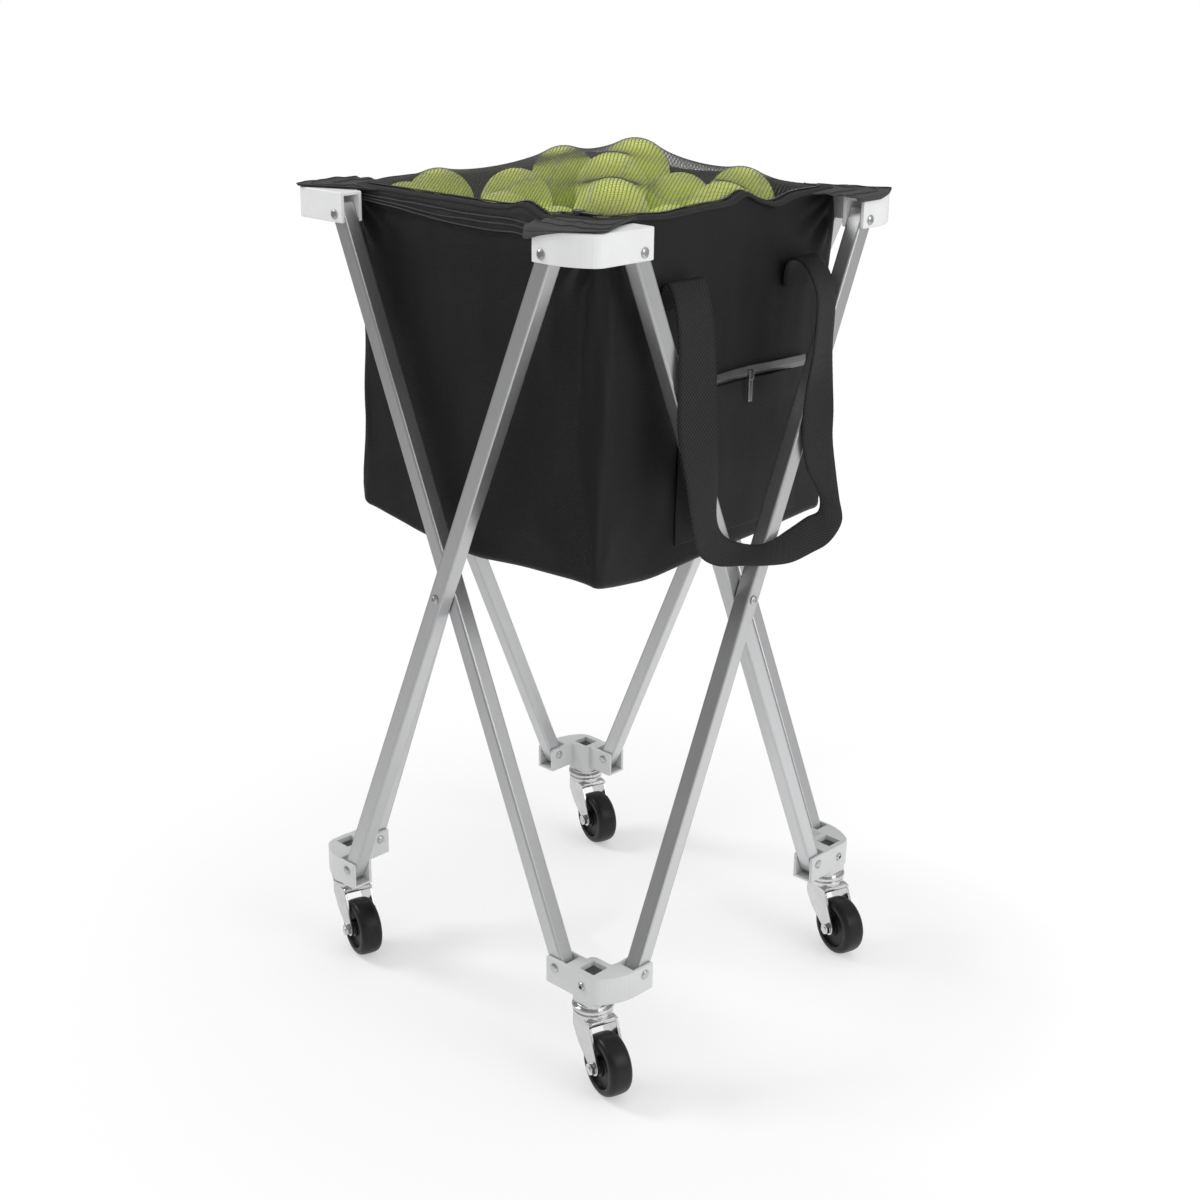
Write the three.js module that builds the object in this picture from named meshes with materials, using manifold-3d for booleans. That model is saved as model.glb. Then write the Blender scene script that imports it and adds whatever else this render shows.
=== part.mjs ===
// Ball cart: four scissor side frames between corner brackets, a hanging cloth bag and four swivel casters.
// Millimetres, +Z up. The origin is on the floor, under the middle of the square that the corner ridges make.
// The corners run front right, back right, back left, front left, each a quarter turn from the one before.
import * as THREE from 'three';
import { mergeVertices } from 'three/addons/utils/BufferGeometryUtils.js';
import Module from 'manifold-3d';

// Frame
const RIDGE = 190; // from the middle to the two outer planes of a corner
const PIVOT_INSET = 50; // from a ridge to the end pivots beside it
const UPPER_PIVOT_Z = 758.2;
const LOWER_PIVOT_Z = 105.4;
const TUBE = 16; // square tube, outside
const TUBE_WALL = 1.2;
const TUBE_CORNER = 1.8;
const TUBE_PAST_PIVOT = 7.8;
const TUBE_TO_TUBE = 0.6; // between the two crossing bars of a side
const TOUCH = 0.3; // clearance between pieces that meet
const OVERRUN = 30; // how far a cut runs past what it cuts
const PIN_R = 2.5;
const PIN_HOLE_R = PIN_R + TOUCH;
const PIN_HEAD_R = 4.5;
const PIN_HEAD_T = 1.5;
const PIN_CROWN_SHARE = 0.6; // of the head's radius, where its crown is flat
const PIN_SIDES = 10;
const HOLE_SIDES = 10;

// Corner brackets
const PLATE = 3; // wall on each side of a bar's end
const SLOT_SIDE = 0.4; // between a bar and the wall beside it
const WING_PAST_PIVOT = 10.5;
const SLOT_PAST_PIVOT = 12.6; // from a pivot to the blind end of its slot
const WING_STRAIGHT = 9; // straight part of the bowed wing past its pivot
const WING_HEIGHT = 27;
const UPPER_BRACKET_Z = 751;
const LOWER_BRACKET_Z = 87;
const RIDGE_R = 6;
const CURVE_STEPS = 4;
const EDGE = 0.7; // bevel on the bracket edges

// Caster sockets
const SOCKET = 30; // outside of the square block
const SOCKET_HOLE = 18;
const SOCKET_Z = 82;
const PLUG_BELOW_RIM = 8;

// Casters
const WHEEL_R = 29.3;
const WHEEL_W = 23;
const WHEEL_EDGE_R = 5;
const WHEEL_STEPS = 28;
const HUB_R = 8.5;
const RIM_R = 21;
const HUB_RECESS = 4;
const HUB_FLUSH = 0.6; // from the tread's side plane to the hub face
const TRAIL = 28.7; // from the swivel axis to the axle
const TRAIL_ANGLE = -17; // degrees from +X
const RACE_R = 19.5;
const RACE_T = 6.6; // ball race and the neck over it
const RACE_RING_T = 4;
const RACE_NECK_R = 16.5;
const CROWN_R = 18.6;
const CROWN_T = 5.2;
const CROWN_EDGE = 1.6;
const BRIDGE_T = 5;
const BRIDGE_EDGE = 1.5;
const BRIDGE_CORNER_R = 3;
const KINGPIN_R = 4;
const KINGPIN_HEAD_R = 6.5;
const KINGPIN_HEAD_T = 3;
const ROUND_STEPS = 24;
const ARM_T = 2.5;
const ARM_CLEAR = 1.2; // between the wheel and an arm
const ARM_FRONT = 20; // from the swivel axis to the arms' trailing edges at the bridge
const ARM_HEEL = 2.5; // how far those edges lean out below the bridge
const ARM_HIP = 25; // height over the axle where an arm starts to taper
const ARM_WAIST = 12; // the same where its leading edge passes the swivel axis
const ARM_END_R = 7.5;
const ARM_END_TURN = 0.93; // radians that the arm's round end starts past straight back
const ARM_END_SWEEP = 2.7;
const AXLE_R = 2.9;
const AXLE_HEAD_R = 5.5;
const AXLE_HEAD_T = 2.6;
const NUT_R = 6;
const NUT_T = 4.4;
const NUT_SIDES = 6;

// Bag
const BAG_CLEAR = 12.6; // from the inner bars to the bag
const BAG_WALL = 1.8;
const BAG_BOTTOM_Z = 458;
const BAG_CORNER_R = 14;
const FLAP_T = 2;
const FLAP_SPAN = 40; // length of a corner flap along each side of the bag
const FLAP_OVER = 8; // how far a flap stands in from the ridge planes at its tip
const BORDER = 22; // flat border of the lid
const LID_T = 2;
const MOUND = 40; // rise of the lid over its border
const MOUND_POWER = 0.75;
const LID_STEPS = 5; // over the mound's half width
const LOAD_STEPS = 3;
const LOAD_CLEAR = 10.2; // from the bag's wall to the balls
const LOAD_CORNER_R = 30;
const LOAD_UNDER_LID = 5;

// Handles
const STRAP_W = 40;
const STRAP_T = 2.2;
const STRAP_Z = 723;
const STRAP_BOTTOM_Z = 476;
const STRAP_LEFT = -90; // far edges of the two branches along the side
const STRAP_RIGHT = 112;
const STRAP_CLEAR = 1.4; // from the outer bars
const STRAP_BEND_STEPS = 8;
const STRAP_BEND_SHARE = 0.8; // of the loop's half width, as the height of its round bottom

// Side pocket
const POCKET_FROM = -58;
const POCKET_TO = 112;
const POCKET_BOTTOM_Z = 486;
const POCKET_TOP_Z = 634;
const POCKET_TO_BAR = 2; // from the pocket's slider to the inner bars
const TAPE_H = 10;
const TAPE_T = 2;

// Zip sliders
const SLIDER_L = 9;
const SLIDER_W = 6;
const SLIDER_T = 3;
const TAB_L = 22;
const TAB_W = 5;
const TAB_T = 1.4;
const LID_SLIDER_FROM_SIDE = 33; // along the zip, from the end of the lid
const LID_SLIDER_INSET = 9;
const POCKET_SLIDER_Y = 28;

// Derived places
const PIVOT = RIDGE - PIVOT_INSET;
const FLAT_OUT = RIDGE;
const FLAT_SLOT_OUT = FLAT_OUT - PLATE;
const INNER_BAR_OUT = FLAT_SLOT_OUT - SLOT_SIDE;
const INNER_BAR = INNER_BAR_OUT - TUBE / 2;
const FLAT_SLOT_IN = INNER_BAR_OUT - TUBE - SLOT_SIDE;
const WING_T = FLAT_OUT - FLAT_SLOT_IN + PLATE;
const OUTER_BAR_IN = INNER_BAR_OUT + TUBE_TO_TUBE;
const OUTER_BAR = OUTER_BAR_IN + TUBE / 2;
const OUTER_BAR_OUT = OUTER_BAR_IN + TUBE;
const BOW_SHIFT = OUTER_BAR - INNER_BAR;
const BOW_OUT = FLAT_OUT + BOW_SHIFT;
const WING_END = PIVOT - WING_PAST_PIVOT;
const RISE = UPPER_PIVOT_Z - LOWER_PIVOT_Z;
const HALF_BAR = Math.hypot(2 * PIVOT, RISE) / 2;
const LEAN = Math.atan2(2 * PIVOT, RISE);
const MIDDLE_Z = (UPPER_PIVOT_Z + LOWER_PIVOT_Z) / 2;
const UPPER_TOP_Z = UPPER_BRACKET_Z + WING_HEIGHT;
const LOWER_TOP_Z = LOWER_BRACKET_Z + WING_HEIGHT;
const SWIVEL = RIDGE - SOCKET / 2;
const PLUG_TOP_Z = LOWER_TOP_Z - PLUG_BELOW_RIM;
const RACE_TOP_Z = SOCKET_Z - TOUCH;
const CROWN_TOP_Z = RACE_TOP_Z - RACE_T - TOUCH;
const BRIDGE_TOP_Z = CROWN_TOP_Z - CROWN_T;
const FORK_UNDER_Z = BRIDGE_TOP_Z - BRIDGE_T;
const ARM_IN = WHEEL_W / 2 + ARM_CLEAR;
const ARM_OUT = ARM_IN + ARM_T;
const ARM_BACK = 2 * ARM_OUT - ARM_FRONT;
const FLAP_Z = UPPER_TOP_Z + TOUCH;
const BAG_TOP_Z = FLAP_Z + FLAP_T;
const LID_Z = BAG_TOP_Z + TOUCH;
const BAG_HALF = INNER_BAR_OUT - TUBE - BAG_CLEAR;
const FLAP_INNER = BAG_HALF - FLAP_SPAN;
const LOAD_HALF = BAG_HALF - BAG_WALL - LOAD_CLEAR;
const DOME_HALF = BAG_HALF - BORDER;
const STRAP_IN = OUTER_BAR_OUT + STRAP_CLEAR;
const SKIN = BAG_HALF + TOUCH;
const POCKET_T = BAG_CLEAR - 2 * TOUCH - TAPE_T - SLIDER_T - POCKET_TO_BAR;

const QUARTER = Math.PI / 2;
const CORNERS = ['front_right', 'back_right', 'back_left', 'front_left'];
const SIDES = ['right', 'back', 'left', 'front'];

const wasm = await Module();
wasm.setup();

const PLASTIC = { color: 0xe9eaec, roughness: 0.5, metalness: 0 };
const PLASTIC_LOW = { color: 0xd3d5d8, roughness: 0.5, metalness: 0 };
const SILVER = { color: 0xb4b7bb, roughness: 0.38, metalness: 0.8 };
const ZINC = { color: 0xc9ccd0, roughness: 0.25, metalness: 1 };
const BLACK_TREAD = { color: 0x1b1b1d, roughness: 0.5, metalness: 0 };
const CLOTH = { color: 0x1e1e20, roughness: 0.9, metalness: 0 };
const NET = { color: 0x4b4d50, roughness: 0.85, metalness: 0 };
const WEBBING = { color: 0x232325, roughness: 0.8, metalness: 0 };
const FELT = { color: 0xcbe03a, roughness: 0.95, metalness: 0 };

const group = new THREE.Group();
group.name = 'ball_cart';

function place(name, geometry, look) {
  const mesh = new THREE.Mesh(geometry, new THREE.MeshStandardMaterial(look));
  mesh.name = name;
  group.add(mesh);
}

// Closed geometry to a solid that can be joined or cut, and back
function solid(geometry) {
  const bare = geometry.index ? geometry.toNonIndexed() : geometry.clone();
  bare.deleteAttribute('normal');
  bare.deleteAttribute('uv');
  const welded = mergeVertices(bare, 1e-4);
  const mesh = new wasm.Mesh({
    numProp: 3,
    vertProperties: Float32Array.from(welded.attributes.position.array),
    triVerts: Uint32Array.from(welded.index.array),
  });
  return new wasm.Manifold(mesh);
}

function geometryOf(body) {
  const mesh = body.getMesh();
  const indexed = new THREE.BufferGeometry();
  indexed.setAttribute('position', new THREE.BufferAttribute(mesh.vertProperties, 3));
  indexed.setIndex(new THREE.BufferAttribute(mesh.triVerts, 1));
  const flat = indexed.toNonIndexed();
  flat.computeVertexNormals();
  return flat;
}

function block(x0, x1, y0, y1, z0, z1) {
  const box = new THREE.BoxGeometry(x1 - x0, y1 - y0, z1 - z0);
  box.translate((x0 + x1) / 2, (y0 + y1) / 2, (z0 + z1) / 2);
  return box;
}

function prism(points, z0, z1) {
  const shape = new THREE.Shape(points);
  const body = new THREE.ExtrudeGeometry(shape, { depth: z1 - z0, bevelEnabled: false });
  body.translate(0, 0, z0);
  return body;
}

function roundedSquare(half, radius, steps) {
  const points = [];
  for (let corner = 0; corner < 4; corner += 1) {
    for (let step = 0; step <= steps; step += 1) {
      const turn = QUARTER * (corner + step / steps);
      const middle = QUARTER * (corner + 0.5);
      const away = (half - radius) * Math.SQRT2;
      points.push(new THREE.Vector2(
        away * Math.cos(middle) + radius * Math.cos(turn),
        away * Math.sin(middle) + radius * Math.sin(turn),
      ));
    }
  }
  return points;
}

// A turned body along X, from pairs of radius and place along the axis
function turned(profile, sides) {
  const points = profile.map(([radius, along]) => new THREE.Vector2(radius, along));
  const body = new THREE.LatheGeometry(points, sides);
  body.rotateZ(-QUARTER);
  return body;
}

// A turned body that stands along Z
function standing(profile, sides) {
  const body = turned(profile, sides);
  body.rotateY(-QUARTER);
  return body;
}

function pinProfile(from, to) {
  return [
    [0, from - PIN_HEAD_T],
    [PIN_HEAD_R * PIN_CROWN_SHARE, from - PIN_HEAD_T],
    [PIN_HEAD_R, from - PIN_HEAD_T / 3],
    [PIN_HEAD_R, from],
    [PIN_R, from],
    [PIN_R, to],
    [PIN_HEAD_R, to],
    [PIN_HEAD_R, to + PIN_HEAD_T / 3],
    [PIN_HEAD_R * PIN_CROWN_SHARE, to + PIN_HEAD_T],
    [0, to + PIN_HEAD_T],
  ];
}

// A rivet through a side, square to it, at a place along the side and a height
function rivet(from, to, along, z) {
  const body = turned(pinProfile(from, to), PIN_SIDES);
  body.translate(0, along, z);
  return body;
}

// Square tube with the holes for its two end pivots and the crossing pivot
function bar(middle, lean) {
  const outline = new THREE.Shape(roundedSquare(TUBE / 2, TUBE_CORNER, 2));
  outline.holes.push(new THREE.Path(roundedSquare(TUBE / 2 - TUBE_WALL, TUBE_CORNER - TUBE_WALL, 1)));
  const length = 2 * (HALF_BAR + TUBE_PAST_PIVOT);
  const tube = new THREE.ExtrudeGeometry(outline, { depth: length, bevelEnabled: false });
  tube.translate(0, 0, -length / 2);
  let body = solid(tube);
  for (const z of [-HALF_BAR, 0, HALF_BAR]) {
    const drill = turned([[0, -TUBE], [PIN_HOLE_R, -TUBE], [PIN_HOLE_R, TUBE], [0, TUBE]], HOLE_SIDES);
    drill.translate(0, 0, z);
    body = body.subtract(solid(drill));
  }
  const geometry = geometryOf(body);
  geometry.rotateX(lean);
  geometry.translate(middle, 0, MIDDLE_Z);
  return geometry;
}

// Outline of a corner seen from above: a flat wing along the right side, a bowed one along the front
function cornerShape() {
  const straight = PIVOT + WING_STRAIGHT;
  const run = RIDGE - straight;
  const radius = (run * run + BOW_SHIFT * BOW_SHIFT) / (2 * BOW_SHIFT);
  const middle = radius - BOW_OUT;
  const inner = radius - WING_T;
  const bow = Math.asin(run / radius) - RIDGE_R / radius;
  const innerBow = Math.asin((FLAT_OUT - WING_T - straight) / inner);
  const shape = new THREE.Shape();
  shape.moveTo(FLAT_OUT - WING_T, -WING_END);
  shape.lineTo(FLAT_OUT, -WING_END);
  shape.lineTo(FLAT_OUT, RIDGE_R - RIDGE);
  shape.quadraticCurveTo(RIDGE, -RIDGE, straight + radius * Math.sin(bow), middle - radius * Math.cos(bow));
  shape.absarc(straight, middle, radius, bow - QUARTER, -QUARTER, true);
  shape.lineTo(WING_END, -BOW_OUT);
  shape.lineTo(WING_END, WING_T - BOW_OUT);
  shape.lineTo(straight, WING_T - BOW_OUT);
  shape.absarc(straight, middle, inner, -QUARTER, innerBow - QUARTER, false);
  return shape;
}

function cornerBody(z) {
  const body = new THREE.ExtrudeGeometry(cornerShape(), {
    depth: WING_HEIGHT - 2 * EDGE,
    bevelThickness: EDGE,
    bevelSize: EDGE,
    bevelOffset: -EDGE,
    bevelSegments: 1,
    curveSegments: CURVE_STEPS,
  });
  body.translate(0, 0, z + EDGE);
  return solid(body);
}

// The slot of a wing and the pivot holes through its two walls, along the right side
function wingCut(out, z0, z1, pivotZ) {
  const slot = block(
    out - WING_T + PLATE,
    out - PLATE,
    -PIVOT - SLOT_PAST_PIVOT,
    -WING_END + WING_PAST_PIVOT,
    z0,
    z1,
  );
  const from = out - WING_T - OVERRUN;
  const to = out + OVERRUN;
  const drill = turned([[0, from], [PIN_HOLE_R, from], [PIN_HOLE_R, to], [0, to]], HOLE_SIDES);
  drill.translate(0, -PIVOT, pivotZ);
  return solid(slot).add(solid(drill));
}

// The same cut, moved from the right side to the front of the same corner
function acrossRidge(body) {
  return body.mirror([1, 1, 0]);
}

function upperBracket() {
  const z0 = UPPER_BRACKET_Z - WING_HEIGHT;
  const z1 = UPPER_TOP_Z - PLATE;
  return cornerBody(UPPER_BRACKET_Z)
    .subtract(wingCut(FLAT_OUT, z0, z1, UPPER_PIVOT_Z))
    .subtract(acrossRidge(wingCut(BOW_OUT, z0, z1, UPPER_PIVOT_Z)));
}

function lowerBracket() {
  const z0 = LOWER_BRACKET_Z + PLATE;
  const z1 = LOWER_TOP_Z + WING_HEIGHT;
  const hole = SOCKET_HOLE / 2;
  const socket = prism(roundedSquare(SOCKET / 2, RIDGE_R, 3), SOCKET_Z, LOWER_TOP_Z);
  socket.translate(SWIVEL, -SWIVEL, 0);
  return acrossRidge(cornerBody(LOWER_BRACKET_Z))
    .add(solid(socket))
    .subtract(acrossRidge(wingCut(FLAT_OUT, z0, z1, LOWER_PIVOT_Z)))
    .subtract(wingCut(BOW_OUT, z0, z1, LOWER_PIVOT_Z))
    .subtract(solid(block(SWIVEL - hole, SWIVEL + hole, -SWIVEL - hole, -SWIVEL + hole, 0, z1)));
}

function turn(geometry, corner) {
  geometry.rotateZ(QUARTER * corner);
  return geometry;
}

function addBrackets() {
  const upper = upperBracket();
  const lower = lowerBracket();
  CORNERS.forEach((corner, at) => {
    place(`upper_bracket_${corner}`, turn(geometryOf(upper), at), PLASTIC);
    place(`lower_bracket_${corner}`, turn(geometryOf(lower), at), PLASTIC_LOW);
  });
}

// Each side has an inner bar from the top of its first corner and an outer bar from the top of the next
function addBars() {
  SIDES.forEach((side, at) => {
    place(`${side}_bar_inner`, turn(bar(INNER_BAR, LEAN), at), SILVER);
    place(`${side}_bar_outer`, turn(bar(OUTER_BAR, -LEAN), at), SILVER);
  });
}

function addRivets() {
  const flatFrom = FLAT_OUT - WING_T - TOUCH;
  const flatTo = FLAT_OUT + TOUCH;
  const bowFrom = flatFrom + BOW_SHIFT;
  const bowTo = flatTo + BOW_SHIFT;
  SIDES.forEach((side, at) => {
    const crossing = rivet(INNER_BAR_OUT - TUBE - TOUCH, OUTER_BAR_OUT + TOUCH, 0, MIDDLE_Z);
    place(`${side}_crossing_rivet`, turn(crossing, at), ZINC);
    const flatTop = rivet(flatFrom, flatTo, -PIVOT, UPPER_PIVOT_Z);
    place(`${side}_rivet_top_inner`, turn(flatTop, at), ZINC);
    const bowTop = rivet(bowFrom, bowTo, PIVOT, UPPER_PIVOT_Z);
    place(`${side}_rivet_top_outer`, turn(bowTop, at), ZINC);
    const flatLow = rivet(flatFrom, flatTo, PIVOT, LOWER_PIVOT_Z);
    place(`${side}_rivet_low_inner`, turn(flatLow, at), ZINC);
    const bowLow = rivet(bowFrom, bowTo, -PIVOT, LOWER_PIVOT_Z);
    place(`${side}_rivet_low_outer`, turn(bowLow, at), ZINC);
  });
}

// Square plug, upper ball race and kingpin of a caster, round its swivel axis
function casterStem() {
  const pinEnd = FORK_UNDER_Z - TOUCH;
  const half = SOCKET_HOLE / 2 - TOUCH;
  const ring = RACE_TOP_Z - RACE_T;
  const spindle = standing([
    [0, pinEnd - KINGPIN_HEAD_T],
    [KINGPIN_HEAD_R, pinEnd - KINGPIN_HEAD_T],
    [KINGPIN_HEAD_R, pinEnd],
    [KINGPIN_R, pinEnd],
    [KINGPIN_R, ring],
    [RACE_R - EDGE, ring],
    [RACE_R, ring + EDGE],
    [RACE_R, ring + RACE_RING_T - EDGE],
    [RACE_R - EDGE, ring + RACE_RING_T],
    [RACE_NECK_R, ring + RACE_RING_T],
    [RACE_NECK_R, RACE_TOP_Z],
    [0, RACE_TOP_Z],
  ], ROUND_STEPS);
  const plug = block(-half, half, -half, half, RACE_TOP_Z - RACE_T / 2, PLUG_TOP_Z);
  return geometryOf(solid(spindle).add(solid(plug)));
}

// Side outline of a fork arm, swept back from the crown to the axle, in X and Z
function armOutline() {
  const points = [
    new THREE.Vector2(-ARM_BACK, BRIDGE_TOP_Z - BRIDGE_EDGE),
    new THREE.Vector2(-ARM_BACK, WHEEL_R + ARM_HIP),
    new THREE.Vector2(0, WHEEL_R + ARM_WAIST),
  ];
  const steps = 6;
  const start = Math.PI + ARM_END_TURN;
  for (let step = 0; step <= steps; step += 1) {
    const turn = start + (ARM_END_SWEEP * step) / steps;
    points.push(new THREE.Vector2(
      TRAIL + ARM_END_R * Math.cos(turn),
      WHEEL_R + ARM_END_R * Math.sin(turn),
    ));
  }
  points.push(new THREE.Vector2(ARM_FRONT + ARM_HEEL, FORK_UNDER_Z - BRIDGE_T));
  points.push(new THREE.Vector2(ARM_FRONT, FORK_UNDER_Z));
  points.push(new THREE.Vector2(ARM_FRONT, BRIDGE_TOP_Z - BRIDGE_EDGE));
  return points;
}

// Plate that joins the two arms under the crown, with rounded shoulders
function forkBridge() {
  const outline = new THREE.Shape(roundedSquare(ARM_OUT, BRIDGE_CORNER_R, 2));
  const plate = new THREE.ExtrudeGeometry(outline, {
    depth: BRIDGE_T - 2 * BRIDGE_EDGE,
    bevelThickness: BRIDGE_EDGE,
    bevelSize: BRIDGE_EDGE,
    bevelOffset: -BRIDGE_EDGE,
    bevelSegments: 2,
  });
  plate.translate(ARM_FRONT - ARM_OUT, 0, FORK_UNDER_Z + BRIDGE_EDGE);
  return plate;
}

function casterFork() {
  const crown = standing([
    [0, BRIDGE_TOP_Z - EDGE],
    [CROWN_R - EDGE, BRIDGE_TOP_Z - EDGE],
    [CROWN_R, BRIDGE_TOP_Z],
    [CROWN_R, CROWN_TOP_Z - CROWN_EDGE],
    [CROWN_R - CROWN_EDGE, CROWN_TOP_Z],
    [0, CROWN_TOP_Z],
  ], ROUND_STEPS);
  const arm = prism(armOutline(), ARM_IN, ARM_OUT);
  arm.rotateX(QUARTER);
  const otherArm = arm.clone();
  otherArm.translate(0, ARM_IN + ARM_OUT, 0);
  const kingpinHole = standing([
    [0, 0],
    [KINGPIN_R + TOUCH, 0],
    [KINGPIN_R + TOUCH, SOCKET_Z],
    [0, SOCKET_Z],
  ], HOLE_SIDES);
  const axleHole = turned([
    [0, -SOCKET],
    [AXLE_R + TOUCH, -SOCKET],
    [AXLE_R + TOUCH, SOCKET],
    [0, SOCKET],
  ], HOLE_SIDES);
  axleHole.rotateZ(QUARTER);
  axleHole.translate(TRAIL, 0, WHEEL_R);
  return geometryOf(solid(crown).add(solid(forkBridge())).add(solid(arm)).add(solid(otherArm))
    .subtract(solid(kingpinHole)).subtract(solid(axleHole)));
}

function wheel() {
  const half = WHEEL_W / 2;
  const bore = AXLE_R + TOUCH;
  const hub = half - HUB_FLUSH;
  const recess = HUB_RECESS - half;
  const profile = [[bore, -hub], [HUB_R, -hub], [HUB_R + EDGE, recess], [RIM_R - EDGE, recess]];
  profile.push([RIM_R, -half]);
  const steps = 2;
  for (let step = 0; step <= steps; step += 1) {
    const turn = QUARTER * (step / steps);
    profile.push([
      WHEEL_R - WHEEL_EDGE_R * (1 - Math.sin(turn)),
      -half + WHEEL_EDGE_R * (1 - Math.cos(turn)),
    ]);
  }
  const other = profile.map(([radius, along]) => [radius, -along]).reverse();
  const body = turned([...profile, ...other, profile[0]], WHEEL_STEPS);
  body.rotateZ(QUARTER);
  body.translate(TRAIL, 0, WHEEL_R);
  return body;
}

// Axle bolt with its head on one side and a hexagon nut on the other
function axle() {
  const from = -ARM_OUT - TOUCH;
  const to = ARM_OUT + TOUCH;
  const bolt = turned([
    [0, from - NUT_T - EDGE],
    [AXLE_R, from - NUT_T - EDGE],
    [AXLE_R, to],
    [AXLE_HEAD_R, to],
    [AXLE_HEAD_R, to + AXLE_HEAD_T / 2],
    [AXLE_R, to + AXLE_HEAD_T],
    [0, to + AXLE_HEAD_T],
  ], PIN_SIDES);
  const nut = turned([[0, from - NUT_T], [NUT_R, from - NUT_T], [NUT_R, from], [0, from]], NUT_SIDES);
  const body = geometryOf(solid(bolt).add(solid(nut)));
  body.rotateZ(QUARTER);
  body.translate(TRAIL, 0, WHEEL_R);
  return body;
}

function addCasters() {
  const pieces = [
    ['caster_stem', casterStem(), ZINC],
    ['caster_fork', casterFork(), ZINC],
    ['caster_wheel', wheel(), BLACK_TREAD],
    ['caster_axle', axle(), ZINC],
  ];
  CORNERS.forEach((corner, at) => {
    const spot = new THREE.Vector3(SWIVEL, -SWIVEL, 0);
    spot.applyAxisAngle(new THREE.Vector3(0, 0, 1), QUARTER * at);
    for (const [name, geometry, look] of pieces) {
      const piece = geometry.clone();
      if (name !== 'caster_stem') {
        piece.rotateZ(THREE.MathUtils.degToRad(TRAIL_ANGLE));
      }
      piece.translate(spot.x, spot.y, 0);
      place(`${name}_${corner}`, piece, look);
    }
  });
}

// Flap that lies over the top of the front right bracket
function flapOutline() {
  const tip = RIDGE - FLAP_OVER;
  const reach = BOW_OUT - FLAP_OVER;
  const inside = BAG_HALF - BAG_WALL / 2;
  return [
    new THREE.Vector2(FLAP_INNER, -inside),
    new THREE.Vector2(WING_END, -reach),
    new THREE.Vector2(PIVOT + WING_STRAIGHT, -reach),
    new THREE.Vector2(tip, -tip - FLAP_OVER / 2),
    new THREE.Vector2(tip, -PIVOT - WING_STRAIGHT),
    new THREE.Vector2(inside, -FLAP_INNER),
    new THREE.Vector2(inside - BAG_CORNER_R, -inside + BAG_CORNER_R),
  ];
}

function addBag() {
  const steps = 3;
  const outside = prism(roundedSquare(BAG_HALF, BAG_CORNER_R, steps), BAG_BOTTOM_Z, BAG_TOP_Z);
  const room = roundedSquare(BAG_HALF - BAG_WALL, BAG_CORNER_R - BAG_WALL, steps);
  const inside = prism(room, BAG_BOTTOM_Z + BAG_WALL, BAG_TOP_Z + OVERRUN);
  const flap = solid(prism(flapOutline(), FLAP_Z, BAG_TOP_Z));
  let body = solid(outside);
  for (let corner = 0; corner < 4; corner += 1) {
    body = body.add(flap.rotate([0, 0, 90 * corner]));
  }
  place('bag_body', geometryOf(body.subtract(solid(inside))), CLOTH);
}

// Height of the lid over its border: flat at the edge, a soft mound over the balls
function moundAt(x, y) {
  const u = Math.min(1, Math.abs(x) / DOME_HALF);
  const v = Math.min(1, Math.abs(y) / DOME_HALF);
  return MOUND * ((1 - u * u) * (1 - v * v)) ** MOUND_POWER;
}

// Evenly spaced places from one side to the other
function stations(half, steps) {
  return Array.from({ length: 2 * steps + 1 }, (unused, at) => half * (at / steps - 1));
}

// A square sheet between two height rules, as one closed body, with its grid lines at the given places
function sheet(places, low, high) {
  const count = places.length;
  const positions = [];
  const faces = [];
  const at = (i, j, layer) => layer * count * count + i * count + j;
  for (const height of [low, high]) {
    for (const x of places) {
      for (const y of places) {
        positions.push(x, y, height(x, y));
      }
    }
  }
  for (let i = 0; i < count - 1; i += 1) {
    for (let j = 0; j < count - 1; j += 1) {
      const [a, b, c, d] = [at(i, j, 1), at(i + 1, j, 1), at(i + 1, j + 1, 1), at(i, j + 1, 1)];
      faces.push(a, b, c, a, c, d);
      const [e, f, g, h] = [at(i, j, 0), at(i + 1, j, 0), at(i + 1, j + 1, 0), at(i, j + 1, 0)];
      faces.push(e, g, f, e, h, g);
    }
  }
  const last = count - 1;
  for (let i = 0; i < last; i += 1) {
    const rims = [
      [at(i, 0, 0), at(i + 1, 0, 0), at(i, 0, 1), at(i + 1, 0, 1)],
      [at(i + 1, last, 0), at(i, last, 0), at(i + 1, last, 1), at(i, last, 1)],
      [at(0, i + 1, 0), at(0, i, 0), at(0, i + 1, 1), at(0, i, 1)],
      [at(last, i, 0), at(last, i + 1, 0), at(last, i, 1), at(last, i + 1, 1)],
    ];
    for (const [a, b, c, d] of rims) {
      faces.push(a, b, d, a, d, c);
    }
  }
  const body = new THREE.BufferGeometry();
  body.setAttribute('position', new THREE.Float32BufferAttribute(positions, 3));
  body.setIndex(faces);
  const flat = body.toNonIndexed();
  flat.computeVertexNormals();
  return flat;
}

function addLid() {
  const low = (x, y) => LID_Z + moundAt(x, y);
  const high = (x, y) => LID_Z + LID_T + moundAt(x, y);
  place('lid', sheet([-BAG_HALF, ...stations(DOME_HALF, LID_STEPS), BAG_HALF], low, high), NET);
}

function addBallLoad() {
  const floor = () => BAG_BOTTOM_Z + BAG_WALL + TOUCH;
  const top = (x, y) => LID_Z - LOAD_UNDER_LID + moundAt(x, y);
  const pile = solid(sheet(stations(LOAD_HALF, LOAD_STEPS), floor, top));
  const rounding = prism(roundedSquare(LOAD_HALF - TOUCH, LOAD_CORNER_R, 3), 0, BAG_TOP_Z + MOUND);
  place('ball_load', geometryOf(pile.intersect(solid(rounding))), FELT);
}

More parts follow.
